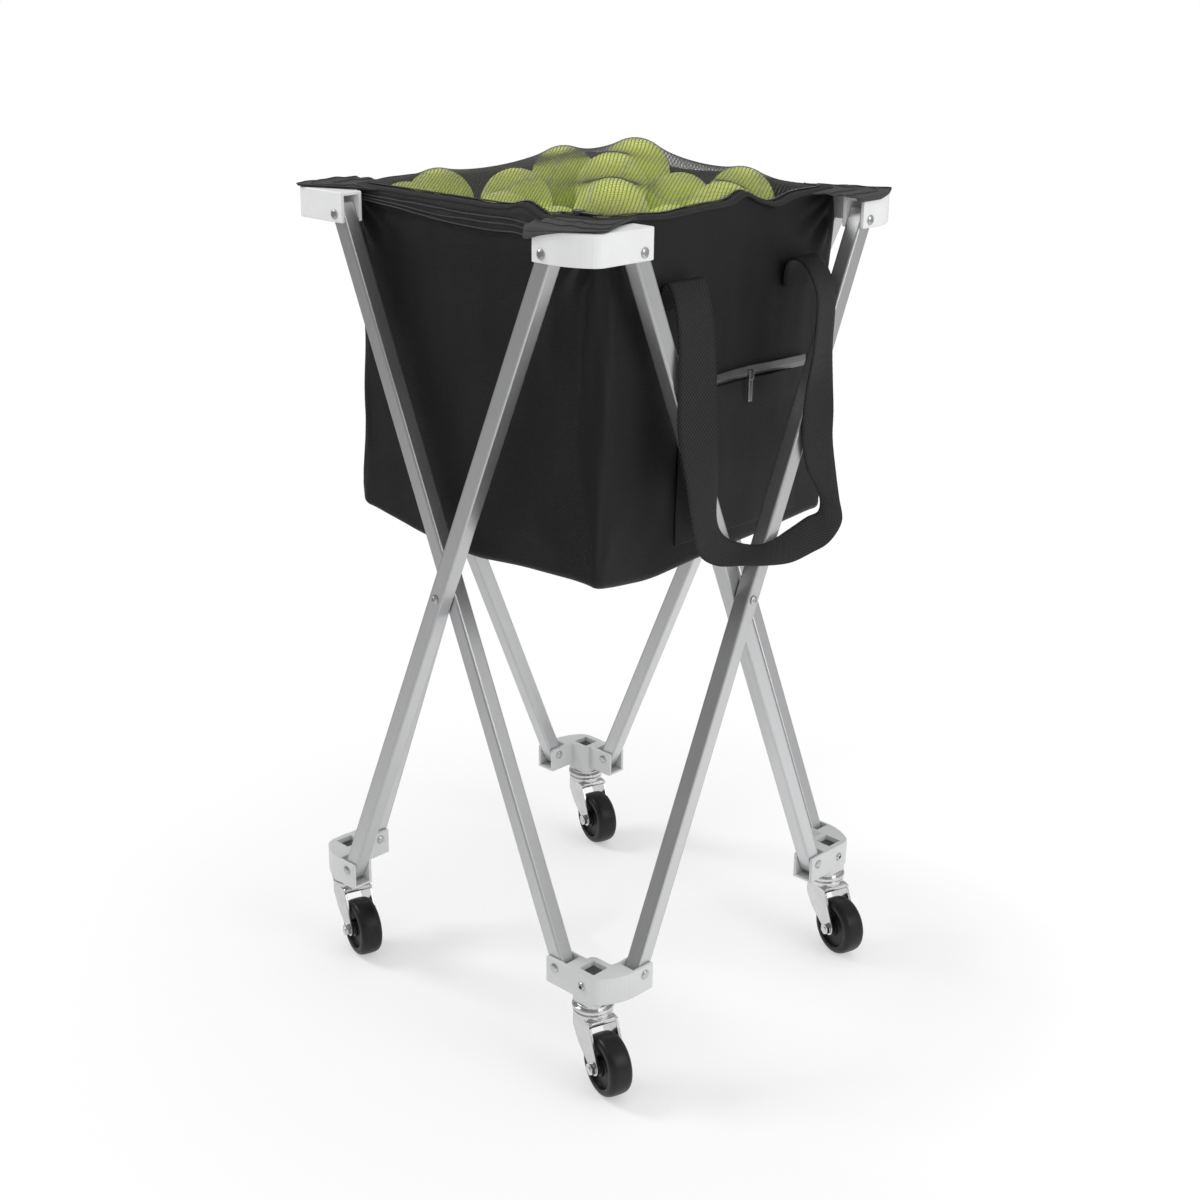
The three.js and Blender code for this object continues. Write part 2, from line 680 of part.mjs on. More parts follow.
// Middle line of the hanging strap, seen from its side, and its thickness inward
function strapOutline(grow) {
  const left = STRAP_LEFT + grow;
  const right = STRAP_RIGHT - grow;
  const middle = (left + right) / 2;
  const half = (right - left) / 2;
  const bend = half * STRAP_BEND_SHARE;
  const points = [new THREE.Vector2(left, STRAP_Z)];
  for (let step = 0; step <= STRAP_BEND_STEPS; step += 1) {
    const turn = Math.PI * (1 + step / STRAP_BEND_STEPS);
    points.push(new THREE.Vector2(
      middle + half * Math.cos(turn),
      STRAP_BOTTOM_Z + grow + bend + bend * Math.sin(turn),
    ));
  }
  points.push(new THREE.Vector2(right, STRAP_Z));
  return points;
}

// Carrying strap: a webbing loop outside the bars, with its two ends folded over to the bag
function handle() {
  const outline = [...strapOutline(0), ...strapOutline(STRAP_W).reverse()];
  const loop = prism(outline, STRAP_IN, STRAP_IN + STRAP_T);
  loop.rotateX(QUARTER);
  loop.rotateZ(QUARTER);
  const under = STRAP_Z - STRAP_T;
  const out = STRAP_IN + STRAP_T;
  const left = block(SKIN, out, STRAP_LEFT, STRAP_LEFT + STRAP_W, under, STRAP_Z);
  const right = block(SKIN, out, STRAP_RIGHT - STRAP_W, STRAP_RIGHT, under, STRAP_Z);
  return solid(loop).add(solid(left)).add(solid(right));
}

function addHandles() {
  const strap = handle();
  place('handle_right', geometryOf(strap), WEBBING);
  place('handle_left', geometryOf(strap.mirror([1, 0, 0])), WEBBING);
}

function addPocket() {
  const panel = block(SKIN, SKIN + POCKET_T, POCKET_FROM, POCKET_TO, POCKET_BOTTOM_Z, POCKET_TOP_Z);
  const out = SKIN + POCKET_T + TAPE_T;
  const tape = block(SKIN, out, POCKET_FROM, POCKET_TO, POCKET_TOP_Z - TAPE_H, POCKET_TOP_Z);
  place('side_pocket', geometryOf(solid(panel).add(solid(tape))), CLOTH);
}

// Zip slider lying on Z = 0 with its pull tab along +X
function slider() {
  const body = block(-SLIDER_L / 2, SLIDER_L / 2, -SLIDER_W / 2, SLIDER_W / 2, 0, SLIDER_T);
  const root = SLIDER_L / 4;
  const under = SLIDER_T / 4;
  const tab = block(root, root + TAB_L, -TAB_W / 2, TAB_W / 2, under, under + TAB_T);
  return geometryOf(solid(body).add(solid(tab)));
}

function addSliders() {
  const onLid = slider();
  onLid.translate(BAG_HALF - LID_SLIDER_FROM_SIDE, -BAG_HALF + LID_SLIDER_INSET, LID_Z + LID_T + TOUCH);
  place('lid_zip_slider', onLid, ZINC);
  const onPocket = slider();
  onPocket.rotateY(QUARTER);
  onPocket.translate(SKIN + POCKET_T + TAPE_T + TOUCH, POCKET_SLIDER_Y, POCKET_TOP_Z - TAPE_H / 2);
  place('pocket_zip_slider', onPocket, ZINC);
}

addBrackets();
addBars();
addRivets();
addCasters();
addBag();
addLid();
addBallLoad();
addHandles();
addPocket();
addSliders();

export default group;
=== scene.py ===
"""Dresses the ball cart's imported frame. Lengths are in millimetres until a mesh is made, lamps in metres."""

import math

import bmesh
import bpy
import numpy as np
from mathutils import Matrix, Vector


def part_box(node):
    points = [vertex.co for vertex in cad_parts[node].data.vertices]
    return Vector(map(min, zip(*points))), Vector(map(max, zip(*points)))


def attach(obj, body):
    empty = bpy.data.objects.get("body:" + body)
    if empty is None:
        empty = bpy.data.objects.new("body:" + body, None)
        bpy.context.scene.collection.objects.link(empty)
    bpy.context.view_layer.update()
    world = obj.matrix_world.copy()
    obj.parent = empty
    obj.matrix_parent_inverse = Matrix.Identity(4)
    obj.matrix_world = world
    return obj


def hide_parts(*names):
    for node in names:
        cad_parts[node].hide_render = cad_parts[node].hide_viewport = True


MM = 0.001
SIDES = ("right", "back", "left", "front")
CORNERS = ("front_right", "back_right", "back_left", "front_left")

# Sizes shared with the frame
BAG_HALF = 157.4
# Length round the bag, of its cloth
ROUND = 8 * BAG_HALF
NET_HALF = 150.0
NET_CORNER = 20.0
NET_Z = 781.5
BALL_R = 33.0
POCKET_Y = (-58.0, 112.0)
POCKET_Z = (486.0, 634.0)
TAPE_H = 10.0

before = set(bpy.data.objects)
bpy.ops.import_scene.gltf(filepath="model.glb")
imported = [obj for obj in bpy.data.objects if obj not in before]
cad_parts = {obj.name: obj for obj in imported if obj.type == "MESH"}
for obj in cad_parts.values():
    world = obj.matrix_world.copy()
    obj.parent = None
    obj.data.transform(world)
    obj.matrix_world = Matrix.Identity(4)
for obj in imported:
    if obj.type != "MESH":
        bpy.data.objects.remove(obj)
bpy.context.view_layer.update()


# Camera, light and floor

# Ways to the brightest part of the world's light, and of what metal mirrors
BRIGHT_SIDE = (0.86, 0.05, 0.5)
GLOSS_SIDE = (0.72, 0.69, 0.1)


def add_camera():
    azimuth, elevation, roll = (math.radians(a) for a in (43.57, 20.06, 0.62))
    back = Vector((
        math.sin(azimuth) * math.cos(elevation),
        -math.cos(azimuth) * math.cos(elevation),
        math.sin(elevation),
    ))
    level = Vector((0, 0, 1)).cross(back).normalized()
    above = back.cross(level)
    right = math.cos(roll) * level + math.sin(roll) * above
    up = -math.sin(roll) * level + math.cos(roll) * above
    data = bpy.data.cameras.new("camera")
    data.lens = 54.84
    data.sensor_width = 36
    data.clip_end = 100
    camera = bpy.data.objects.new("camera", data)
    turn = Matrix((right, up, back)).transposed().to_4x4()
    camera.matrix_world = Matrix.Translation((1.1721, -1.2198, 0.9969)) @ turn
    bpy.context.scene.collection.objects.link(camera)
    bpy.context.scene.camera = camera


def add_lamp(name, place, target, size, power):
    data = bpy.data.lights.new(name, "AREA")
    data.shape = "DISK"
    data.size = size
    data.energy = power
    lamp = bpy.data.objects.new(name, data)
    lamp.location = place
    aim = Vector(target) - Vector(place)
    lamp.rotation_euler = aim.to_track_quat("-Z", "Y").to_euler()
    lamp.visible_camera = False
    bpy.context.scene.collection.objects.link(lamp)


# A level that goes from low to high as a direction turns towards a side
def by_side(tree, way, side, reach, low, high):
    facing = node(tree, "ShaderNodeVectorMath", props={"operation": "DOT_PRODUCT"})
    facing.inputs[1].default_value = side
    span = {"From Min": -reach, "From Max": reach, "To Min": low, "To Max": high}
    level = node(tree, "ShaderNodeMapRange", span)
    tree.links.new(way, facing.inputs[0])
    tree.links.new(facing.outputs["Value"], level.inputs["Value"])
    return level.outputs[0]


# Soft light from all round, brighter from the side that BRIGHT_SIDE points to
def add_world(low, high):
    world = bpy.data.worlds.new("studio")
    bpy.context.scene.world = world
    world.use_nodes = True
    tree = world.node_tree
    tree.nodes.clear()
    way = node(tree, "ShaderNodeTexCoord")
    level = by_side(tree, way.outputs["Generated"], BRIGHT_SIDE, 0.9, low, high)
    light = node(tree, "ShaderNodeBackground", {"Color": (1, 1, 1, 1)})
    seen = node(tree, "ShaderNodeBackground", {"Color": (1, 1, 1, 1)})
    mix = node(tree, "ShaderNodeMixShader")
    out = node(tree, "ShaderNodeOutputWorld")
    tree.links.new(level, light.inputs["Strength"])
    sees, white = seen_rays(tree, way.outputs["Generated"], 0.26, 0.55)
    tree.links.new(white, seen.inputs["Strength"])
    tree.links.new(sees, mix.inputs[0])
    tree.links.new(light.outputs[0], mix.inputs[1])
    tree.links.new(seen.outputs[0], mix.inputs[2])
    tree.links.new(mix.outputs[0], out.inputs[0])


# Which rays see the white backdrop, and how white: full for the camera, shaded from low to high for gloss
def seen_rays(tree, way, low, high, fall=None):
    path = node(tree, "ShaderNodeLightPath")
    plain = node(tree, "ShaderNodeMath", props={"operation": "MAXIMUM"})
    sees = node(tree, "ShaderNodeMath", props={"operation": "MAXIMUM"})
    shade = by_side(tree, way, GLOSS_SIDE, 0.8, low, high)
    faded = node(tree, "ShaderNodeMath", {1: 1.0}, {"operation": "MULTIPLY"})
    white = node(tree, "ShaderNodeMath", props={"operation": "MAXIMUM"})
    tree.links.new(path.outputs["Is Camera Ray"], plain.inputs[0])
    tree.links.new(path.outputs["Is Transmission Ray"], plain.inputs[1])
    tree.links.new(plain.outputs[0], sees.inputs[0])
    tree.links.new(path.outputs["Is Glossy Ray"], sees.inputs[1])
    tree.links.new(shade, faded.inputs[0])
    if fall:
        tree.links.new(fall, faded.inputs[1])
    tree.links.new(faded.outputs[0], white.inputs[0])
    tree.links.new(plain.outputs[0], white.inputs[1])
    return sees.outputs[0], white.outputs[0]


def add_floor():
    half = 30.0
    corners = [(-half, -half, 0), (half, -half, 0), (half, half, 0), (-half, half, 0)]
    floor = mesh_object("floor", np.array(corners) / MM, [(0, 1, 2, 3)], floor_material())


# White floor that keeps the shadow near the cart and fades to plain white further out
def floor_material():
    material, tree, shader = new_material("floor")
    shader.inputs["Base Color"].default_value = (1.0, 1.0, 1.0, 1)
    shader.inputs["Roughness"].default_value = 0.9
    shader.inputs["Specular IOR Level"].default_value = 0.1
    place = node(tree, "ShaderNodeTexCoord")
    length = node(tree, "ShaderNodeVectorMath", props={"operation": "LENGTH"})
    way = node(tree, "ShaderNodeVectorMath", props={"operation": "NORMALIZE"})
    fade = node(tree, "ShaderNodeMapRange", {"From Min": 0.32, "From Max": 0.66, "To Min": 0.4})
    fade.interpolation_type = "SMOOTHSTEP"
    fall = node(tree, "ShaderNodeMapRange", {"From Min": 0.4, "From Max": 3.2, "To Min": 1.0, "To Max": 0.42})
    share = node(tree, "ShaderNodeMath", props={"operation": "MULTIPLY"})
    white = node(tree, "ShaderNodeEmission", {"Color": (1, 1, 1, 1)})
    mix = node(tree, "ShaderNodeMixShader")
    tree.links.new(place.outputs["Object"], length.inputs[0])
    tree.links.new(place.outputs["Object"], way.inputs[0])
    tree.links.new(length.outputs["Value"], fade.inputs["Value"])
    tree.links.new(length.outputs["Value"], fall.inputs["Value"])
    tree.links.new(fade.outputs[0], share.inputs[0])
    sees, level = seen_rays(tree, way.outputs[0], 0.66, 1.1, fall.outputs[0])
    tree.links.new(sees, share.inputs[1])
    tree.links.new(level, white.inputs["Strength"])
    tree.links.new(share.outputs[0], mix.inputs[0])
    tree.links.new(shader.outputs[0], mix.inputs[1])
    tree.links.new(white.outputs[0], mix.inputs[2])
    tree.links.new(mix.outputs[0], tree.nodes["Material Output"].inputs[0])
    return material


# Materials

def new_material(name):
    material = bpy.data.materials.new(name)
    material.use_nodes = True
    tree = material.node_tree
    return material, tree, tree.nodes["Principled BSDF"]


def node(tree, kind, inputs=None, props=None):
    made = tree.nodes.new(kind)
    for key, value in (props or {}).items():
        setattr(made, key, value)
    for key, value in (inputs or {}).items():
        made.inputs[key].default_value = value
    return made


def grey(value, tint=(1.0, 1.0, 1.0)):
    return (value * tint[0], value * tint[1], value * tint[2], 1)


# A colour that goes from low to high as a value goes from start to end
def ramped(tree, value, low, high, start, end):
    ramp = node(tree, "ShaderNodeValToRGB")
    for element, place, colour in zip(ramp.color_ramp.elements, (start, end), (low, high)):
        element.position = place
        element.color = colour
    tree.links.new(value, ramp.inputs[0])
    return ramp.outputs[0]


# Noise over a piece's own coordinates, or its cloth's
def noise(tree, coords, scale, detail, rough=0.5):
    made = node(tree, "ShaderNodeTexNoise", {"Scale": scale, "Detail": detail, "Roughness": rough})
    tree.links.new(coords, made.inputs["Vector"])
    return made.outputs["Fac"]


# Colour that varies gently between two values over the piece
def mottled(tree, shader, low, high, scale):
    place = node(tree, "ShaderNodeTexCoord").outputs["Object"]
    cloud = noise(tree, place, scale, 4.0, 0.6)
    tree.links.new(ramped(tree, cloud, low, high, 0.3, 0.7), shader.inputs["Base Color"])
    return place


def bumped(tree, shader, height, strength, distance, bevel=0.0):
    bump = node(tree, "ShaderNodeBump", {"Strength": strength, "Distance": distance})
    tree.links.new(height, bump.inputs["Height"])
    if bevel:
        edge = node(tree, "ShaderNodeBevel", {"Radius": bevel}, {"samples": 6})
        tree.links.new(edge.outputs[0], bump.inputs["Normal"])
    tree.links.new(bump.outputs[0], shader.inputs["Normal"])


# Roughness that goes from low to high with a value
def patchy(tree, shader, value, low, high):
    patch = node(tree, "ShaderNodeMapRange", {"To Min": low, "To Max": high})
    tree.links.new(value, patch.inputs["Value"])
    tree.links.new(patch.outputs[0], shader.inputs["Roughness"])


def plastic(name, value, tint):
    material, tree, shader = new_material(name)
    place = mottled(tree, shader, grey(value * 0.95, tint), grey(value * 1.02, tint), 18)
    shader.inputs["Roughness"].default_value = 0.42
    bumped(tree, shader, noise(tree, place, 900.0, 2.0), 0.12, 0.0002, 0.0009)
    return material


# A painted reflection: white on a face, dark beside an edge and bright on the edge itself, for the light and
# dark lines that a rounded edge mirrors
def painted_edge_reflection(tree):
    rounded = node(tree, "ShaderNodeBevel", {"Radius": 0.0022}, {"samples": 6})
    flat = node(tree, "ShaderNodeNewGeometry")
    turned = node(tree, "ShaderNodeVectorMath", props={"operation": "DOT_PRODUCT"})
    ramp = node(tree, "ShaderNodeValToRGB")
    ramp.color_ramp.elements[0].position = 0.78
    ramp.color_ramp.elements[0].color = grey(1.0)
    ramp.color_ramp.elements[1].position = 0.998
    ramp.color_ramp.elements[1].color = grey(1.0)
    # The painted dark reflection line beside an edge
    dark = ramp.color_ramp.elements.new(0.93)
    dark.color = grey(0.55)
    tree.links.new(rounded.outputs[0], turned.inputs[0])
    tree.links.new(flat.outputs["True Normal"], turned.inputs[1])
    tree.links.new(turned.outputs["Value"], ramp.inputs[0])
    return ramp.outputs[0]


# Drawn metal: fine lines along one direction in the plane of a side, and a painted reflection of a dark and a
# bright line by its edges
def drawn_metal(name, value, rough, lean, across):
    material, tree, shader = new_material(name)
    place = node(tree, "ShaderNodeTexCoord").outputs["Object"]
    turn = node(tree, "ShaderNodeMapping", {"Rotation": (0, lean, 0) if across == "x" else (-lean, 0, 0)})
    stretch = node(tree, "ShaderNodeMapping", {"Scale": (1600, 1600, 14)})
    tree.links.new(place, turn.inputs[0])
    tree.links.new(turn.outputs[0], stretch.inputs[0])
    lines = noise(tree, stretch.outputs[0], 1.0, 3.0, 0.7)
    tint = (0.985, 0.99, 1.0)
    colour = ramped(tree, lines, grey(value * 0.9, tint), grey(value * 1.04, tint), 0.25, 0.75)
    # The colour is multiplied by the painted reflection of the edges
    painted_reflection_mix = node(tree, "ShaderNodeMix", {"Factor": 1.0}, {"data_type": "RGBA", "blend_type": "MULTIPLY"})
    tree.links.new(colour, painted_reflection_mix.inputs[6])
    tree.links.new(painted_edge_reflection(tree), painted_reflection_mix.inputs[7])
    tree.links.new(painted_reflection_mix.outputs[2], shader.inputs["Base Color"])
    patchy(tree, shader, noise(tree, place, 22.0, 3.0), rough - 0.05, rough + 0.06)
    shader.inputs["Metallic"].default_value = 0.92
    bumped(tree, shader, lines, 0.15, 0.0001, 0.0011)
    return material


def bright_metal(name, value, rough):
    material, tree, shader = new_material(name)
    place = mottled(tree, shader, grey(value * 0.86), grey(value), 60)
    cloud = noise(tree, place, 220.0, 3.0)
    patchy(tree, shader, cloud, rough * 0.7, rough * 1.5)
    shader.inputs["Metallic"].default_value = 1.0
    bumped(tree, shader, cloud, 0.08, 0.0002, 0.0009)
    return material


def tread():
    material, tree, shader = new_material("wheel_black")
    place = mottled(tree, shader, grey(0.006), grey(0.014), 90)
    shader.inputs["Roughness"].default_value = 0.38
    shader.inputs["Specular IOR Level"].default_value = 0.3
    bumped(tree, shader, noise(tree, place, 700.0, 3.0), 0.15, 0.0003, 0.0006)
    return material


# Sines over the two UV directions, as a weave: 0 to 1
def weave(tree, pitch_u, pitch_v):
    place = node(tree, "ShaderNodeUVMap", props={"uv_map": "cloth"})
    split = node(tree, "ShaderNodeSeparateXYZ")
    tree.links.new(place.outputs[0], split.inputs[0])
    waves = []
    for axis, pitch in ((0, pitch_u), (1, pitch_v)):
        turn = node(tree, "ShaderNodeMath", props={"operation": "MULTIPLY"})
        turn.inputs[1].default_value = 2 * math.pi / pitch
        wave = node(tree, "ShaderNodeMath", props={"operation": "SINE"})
        tree.links.new(split.outputs[axis], turn.inputs[0])
        tree.links.new(turn.outputs[0], wave.inputs[0])
        waves.append(wave)
    cross = node(tree, "ShaderNodeMath", props={"operation": "MULTIPLY"})
    half = node(tree, "ShaderNodeMath", props={"operation": "MULTIPLY_ADD"})
    half.inputs[1].default_value = 0.5
    half.inputs[2].default_value = 0.5
    tree.links.new(waves[0].outputs[0], cross.inputs[0])
    tree.links.new(waves[1].outputs[0], cross.inputs[1])
    tree.links.new(cross.outputs[0], half.inputs[0])
    return place, half.outputs[0]


def cloth(name, dark, light, pitch_u, pitch_v, depth, rough, gloss):
    material, tree, shader = new_material(name)
    place, height = weave(tree, pitch_u, pitch_v)
    both = node(tree, "ShaderNodeMix", {"Factor": 0.35}, {"data_type": "FLOAT"})
    tree.links.new(height, both.inputs[2])
    tree.links.new(noise(tree, place.outputs[0], 260.0, 4.0, 0.7), both.inputs[3])
    colour = ramped(tree, both.outputs[0], dark, light, 0.3, 0.75)
    tree.links.new(colour, shader.inputs["Base Color"])
    shader.inputs["Roughness"].default_value = rough
    shader.inputs["Specular IOR Level"].default_value = gloss
    bumped(tree, shader, both.outputs[0], 0.7, depth)
    return material


def felt():
    material, tree, shader = new_material("ball_felt")
    place = mottled(tree, shader, (0.78, 0.92, 0.14, 1), (0.92, 1.0, 0.24, 1), 240)
    shader.inputs["Roughness"].default_value = 0.95
    shader.inputs["Sheen Weight"].default_value = 0.3
    bumped(tree, shader, noise(tree, place, 900.0, 4.0, 0.75), 0.8, 0.0008)
    return material


def seam_rubber():
    material, tree, shader = new_material("ball_seam")
    mottled(tree, shader, (0.60, 0.68, 0.26, 1), (0.70, 0.77, 0.36, 1), 300)
    shader.inputs["Roughness"].default_value = 0.7
    return material


def net_thread():
    material, tree, shader = new_material("net_thread")
    place = mottled(tree, shader, grey(0.06), grey(0.12), 900)
    shader.inputs["Roughness"].default_value = 0.8
    shader.inputs["Specular IOR Level"].default_value = 0.15
    shader.inputs["Alpha"].default_value = 0.6
    bumped(tree, shader, noise(tree, place, 2500.0, 2.0), 0.5, 0.0003)
    return material


# Mesh helpers

# An object from vertices in millimetres; wrap is the length after which the cloth's first coordinate restarts
def mesh_object(name, vertices, faces, material, smooth=True, uv=None, wrap=0.0):
    mesh = bpy.data.meshes.new(name)
    mesh.from_pydata((np.asarray(vertices, float) * MM).tolist(), [], faces)
    mesh.polygons.foreach_set("use_smooth", [smooth] * len(mesh.polygons))
    if uv is not None:
        layer = mesh.uv_layers.new(name="cloth")
        corners = np.empty(len(mesh.loops), int)
        mesh.loops.foreach_get("vertex_index", corners)
        spots = np.asarray(uv, float)[corners]
        for face in mesh.polygons if wrap else ():
            loops = np.array(face.loop_indices)
            behind = spots[loops, 0] < spots[loops, 0].max() - wrap / 2
            spots[loops[behind], 0] += wrap
        layer.data.foreach_set("uv", (spots * MM).ravel())
    mesh.update()
    made = bpy.data.objects.new(name, mesh)
    mesh.materials.append(material)
    bpy.context.scene.collection.objects.link(made)
    return made


# Quads of a grid of rows by columns of vertices
def grid_faces(rows, columns, start=0, closed=False, flip=False):
    faces = []
    last = columns if closed else columns - 1
    for i in range(rows - 1):
        for j in range(last):
            k = (j + 1) % columns
            quad = (i * columns + j, i * columns + k, (i + 1) * columns + k, (i + 1) * columns + j)
            quad = tuple(start + corner for corner in quad)
            faces.append(quad[::-1] if flip else quad)
    return faces


# The two flat ends of a tube of rings of sides vertices
def end_faces(rings, sides):
    last = (rings - 1) * sides
    return [tuple(range(sides)), tuple(last + j for j in reversed(range(sides)))]


def thicken(piece, thickness, offset=-1.0):
    layer = piece.modifiers.new("thickness", "SOLIDIFY")
    layer.thickness = thickness * MM
    layer.offset = offset
    apply_modifiers(piece)


def apply_modifiers(piece):
    graph = bpy.context.evaluated_depsgraph_get()
    mesh = bpy.data.meshes.new_from_object(piece.evaluated_get(graph))
    piece.modifiers.clear()
    piece.data = mesh


# Points about Z by quarter turns
def quarter(points, turns):
    points = np.array(points, float)
    for _ in range(turns % 4):
        points = np.stack([-points[..., 1], points[..., 0], points[..., 2]], -1)
    return points


# A smooth curve through points, sampled evenly in its parameter
def through(points, samples):
    points = np.asarray(points, float)
    spot = np.linspace(0, len(points) - 1, samples)
    at = np.clip(spot.astype(int), 0, len(points) - 2)
    share = (spot - at)[:, None]
    before = points[np.maximum(at - 1, 0)]
    start, end = points[at], points[at + 1]
    after = points[np.minimum(at + 2, len(points) - 1)]
    return 0.5 * (
        2 * start
        + (end - before) * share
        + (2 * before - 5 * start + 4 * end - after) * share ** 2
        + (3 * start - before - 3 * end + after) * share ** 3
    )


# Places and outward directions round a rounded square, from the middle of the right side, anticlockwise
def square_ring(count, half, radius):
    straight = 2 * (half - radius)
    arc = math.pi / 2 * radius
    total = 4 * (straight + arc)
    places, outward = [], []
    for step in range(count):
        along = (step / count * total + straight / 2) % total
        side, rest = divmod(along, straight + arc)
        if rest < straight:
            spot = np.array([half, rest - straight / 2, 0.0])
            out = np.array([1.0, 0.0, 0.0])
        else:
            turn = (rest - straight) / max(radius, 1e-9)
            out = np.array([math.cos(turn), math.sin(turn), 0.0])
            spot = np.array([half - radius, half - radius, 0.0]) + radius * out
        places.append(quarter(spot, int(side)))
        outward.append(quarter(out, int(side)))
    return np.array(places), np.array(outward)


# Balls

# Middles of the balls that the photograph shows at the top of the heap
TOP_BALLS = np.array([
    (-122, -81, 758), (-120, -122, 750), (-87, 48, 772), (-12, 66, 784), (16, 5, 778),
    (-43, -58, 764), (97, -81, 770), (60, 48, 761), (122, 34, 759.5), (77, 113, 762),
    (8, -122, 754), (72, -122, 748), (118, -28, 745),
], float)


# Highest and lowest middles of the loose balls, where their layers start, and how far apart
FREE_TOP = 735.0
FREE_LOW = 470 + BALL_R
LAYER_LOW = 497.0
LAYER_STEP = 45


# Loose balls settled below the top ones: layers that push each other apart under a light pull down
def settle_balls():
    random = np.random.default_rng(11)
    layers = []
    for level in range(6):
        line = np.linspace(-108, 108, 4) + 16 * (level % 2)
        xs, ys = np.meshgrid(line, line)
        layers.append(np.stack([xs.ravel(), ys.ravel(), np.full(16, LAYER_LOW + LAYER_STEP * level)], -1))
    free = np.concatenate(layers)
    free += random.normal(0, 4, free.shape)
    spots = np.concatenate([TOP_BALLS, free])
    pinned = len(TOP_BALLS)
    wall = BAG_HALF - 2.5 - BALL_R
    for step in range(600):
        gap = spots[:, None] - spots[None]
        apart = np.linalg.norm(gap, axis=-1) + np.eye(len(spots)) * 999
        push = np.clip(2 * BALL_R - apart, 0, None)
        move = (gap / apart[..., None] * push[..., None]).sum(1) * 0.3
        spots[pinned:] += move[pinned:]
        spots[pinned:, 2] -= 0.25 if step < 450 else 0.05
        spots[:, :2] = np.clip(spots[:, :2], -wall, wall)
        spots[pinned:, 2] = np.clip(spots[pinned:, 2], FREE_LOW, FREE_TOP)
    return without_squeezed(spots, pinned)


# Leaves out the loose balls that still have no room
def without_squeezed(spots, pinned):
    kept = list(range(pinned))
    for at in range(pinned, len(spots)):
        apart = np.linalg.norm(spots[kept] - spots[at], axis=1)
        if apart.min() > 2 * BALL_R - 4.5:
            kept.append(at)
    return spots[kept]


def ball_mesh(name, detail, cloth_look, seam_look):
    shape = bmesh.new()
    bmesh.ops.create_icosphere(shape, subdivisions=detail, radius=BALL_R)
    turn = np.linspace(0, 2 * math.pi, 200, endpoint=False)
    seam = BALL_R * np.stack([
        0.72 * np.cos(turn) + 0.28 * np.cos(3 * turn),
        0.72 * np.sin(turn) - 0.28 * np.sin(3 * turn),
        2 * math.sqrt(0.72 * 0.28) * np.sin(2 * turn),
    ], -1)
    for vertex in shape.verts:
        away = np.linalg.norm(seam - np.array(vertex.co), axis=1).min()
        vertex.co *= 1 - 0.022 * math.exp(-(away / 1.8) ** 2)
    for face in shape.faces:
        away = np.linalg.norm(seam - np.array(face.calc_center_median()), axis=1).min()
        face.material_index = 1 if away < 1.5 else 0
        face.smooth = True
    bmesh.ops.scale(shape, vec=(MM, MM, MM), verts=shape.verts)
    mesh = bpy.data.meshes.new(name)
    shape.to_mesh(mesh)
    shape.free()
    mesh.materials.append(cloth_look)
    mesh.materials.append(seam_look)
    return mesh


def add_balls(spots):
    felt_look, seam_look = felt(), seam_rubber()
    fine = ball_mesh("ball_fine", 4, felt_look, seam_look)
    plain = ball_mesh("ball_plain", 3, felt_look, seam_look)
    random = np.random.default_rng(5)
    made = []
    for at, spot in enumerate(spots):
        ball = bpy.data.objects.new(f"ball_{at:03d}", fine if spot[2] > 725 else plain)
        ball.location = spot * MM
        ball.rotation_euler = random.uniform(0, 2 * math.pi, 3)
        bpy.context.scene.collection.objects.link(ball)
        made.append(ball)
    bpy.context.view_layer.update()
    for ball in made:
        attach(ball, "bag")
    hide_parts("ball_load")


# Net

# The height of the lid's edge, with the humps and dips that the photograph shows on the front and right sides
def net_edge_z(x, y):
    front = 4.5 * np.exp(-((x - 67) / 14) ** 2) - 2.5 * np.exp(-((x - 93) / 9) ** 2)
    right = (
        6.5 * np.exp(-((y - 24) / 14) ** 2)
        - 3 * np.exp(-((y + 75) / 30) ** 2)
        - 6 * np.exp(-((y - 68) / 20) ** 2)
    )
    other = 1.5 * np.sin(x / 21.0 + y / 27.0)
    rise = NET_Z + np.where(y < -140, front, 0) + np.where(x > 140, right, 0)
    return rise + np.where((x < -140) | (y > 140), other, 0)


# Height of a net stretched over the balls, on a square grid
def stretch_net(spots, count=151):
    line = np.linspace(-NET_HALF, NET_HALF, count)
    x, y = np.meshgrid(line, line, indexing="ij")
    floor = np.full_like(x, -1e3)
    reach = BALL_R + 0.5
    for spot in spots[spots[:, 2] > 700]:
        far = (x - spot[0]) ** 2 + (y - spot[1]) ** 2
        dome = spot[2] + np.sqrt(np.clip(reach ** 2 - far, 0, None))
        floor = np.where(far < (0.98 * reach) ** 2, np.maximum(floor, dome), floor)
    edge = net_edge_z(x, y)
    inside = in_rounded_square(x, y, NET_HALF - 0.5, NET_CORNER)
    floor = np.where(inside, floor, -1e3)
    height = np.maximum(edge, floor)
    for _ in range(5000):
        mean = height.copy()
        mean[1:-1, 1:-1] = 0.25 * (
            height[2:, 1:-1] + height[:-2, 1:-1] + height[1:-1, 2:] + height[1:-1, :-2]
        )
        height = np.where(inside, np.maximum(mean, floor), edge)
    return line, height


def in_rounded_square(x, y, half, radius):
    dx = np.clip(np.abs(x) - (half - radius), 0, None)
    dy = np.clip(np.abs(y) - (half - radius), 0, None)
    return (dx ** 2 + dy ** 2) <= radius ** 2


def sample(line, height, x, y):
    step = line[1] - line[0]
    u = np.clip((x - line[0]) / step, 0, len(line) - 1.001)
    v = np.clip((y - line[0]) / step, 0, len(line) - 1.001)
    i, j = u.astype(int), v.astype(int)
    a, b = u - i, v - j
    return (
        height[i, j] * (1 - a) * (1 - b)
        + height[i + 1, j] * a * (1 - b)
        + height[i, j + 1] * (1 - a) * b
        + height[i + 1, j + 1] * a * b
    )


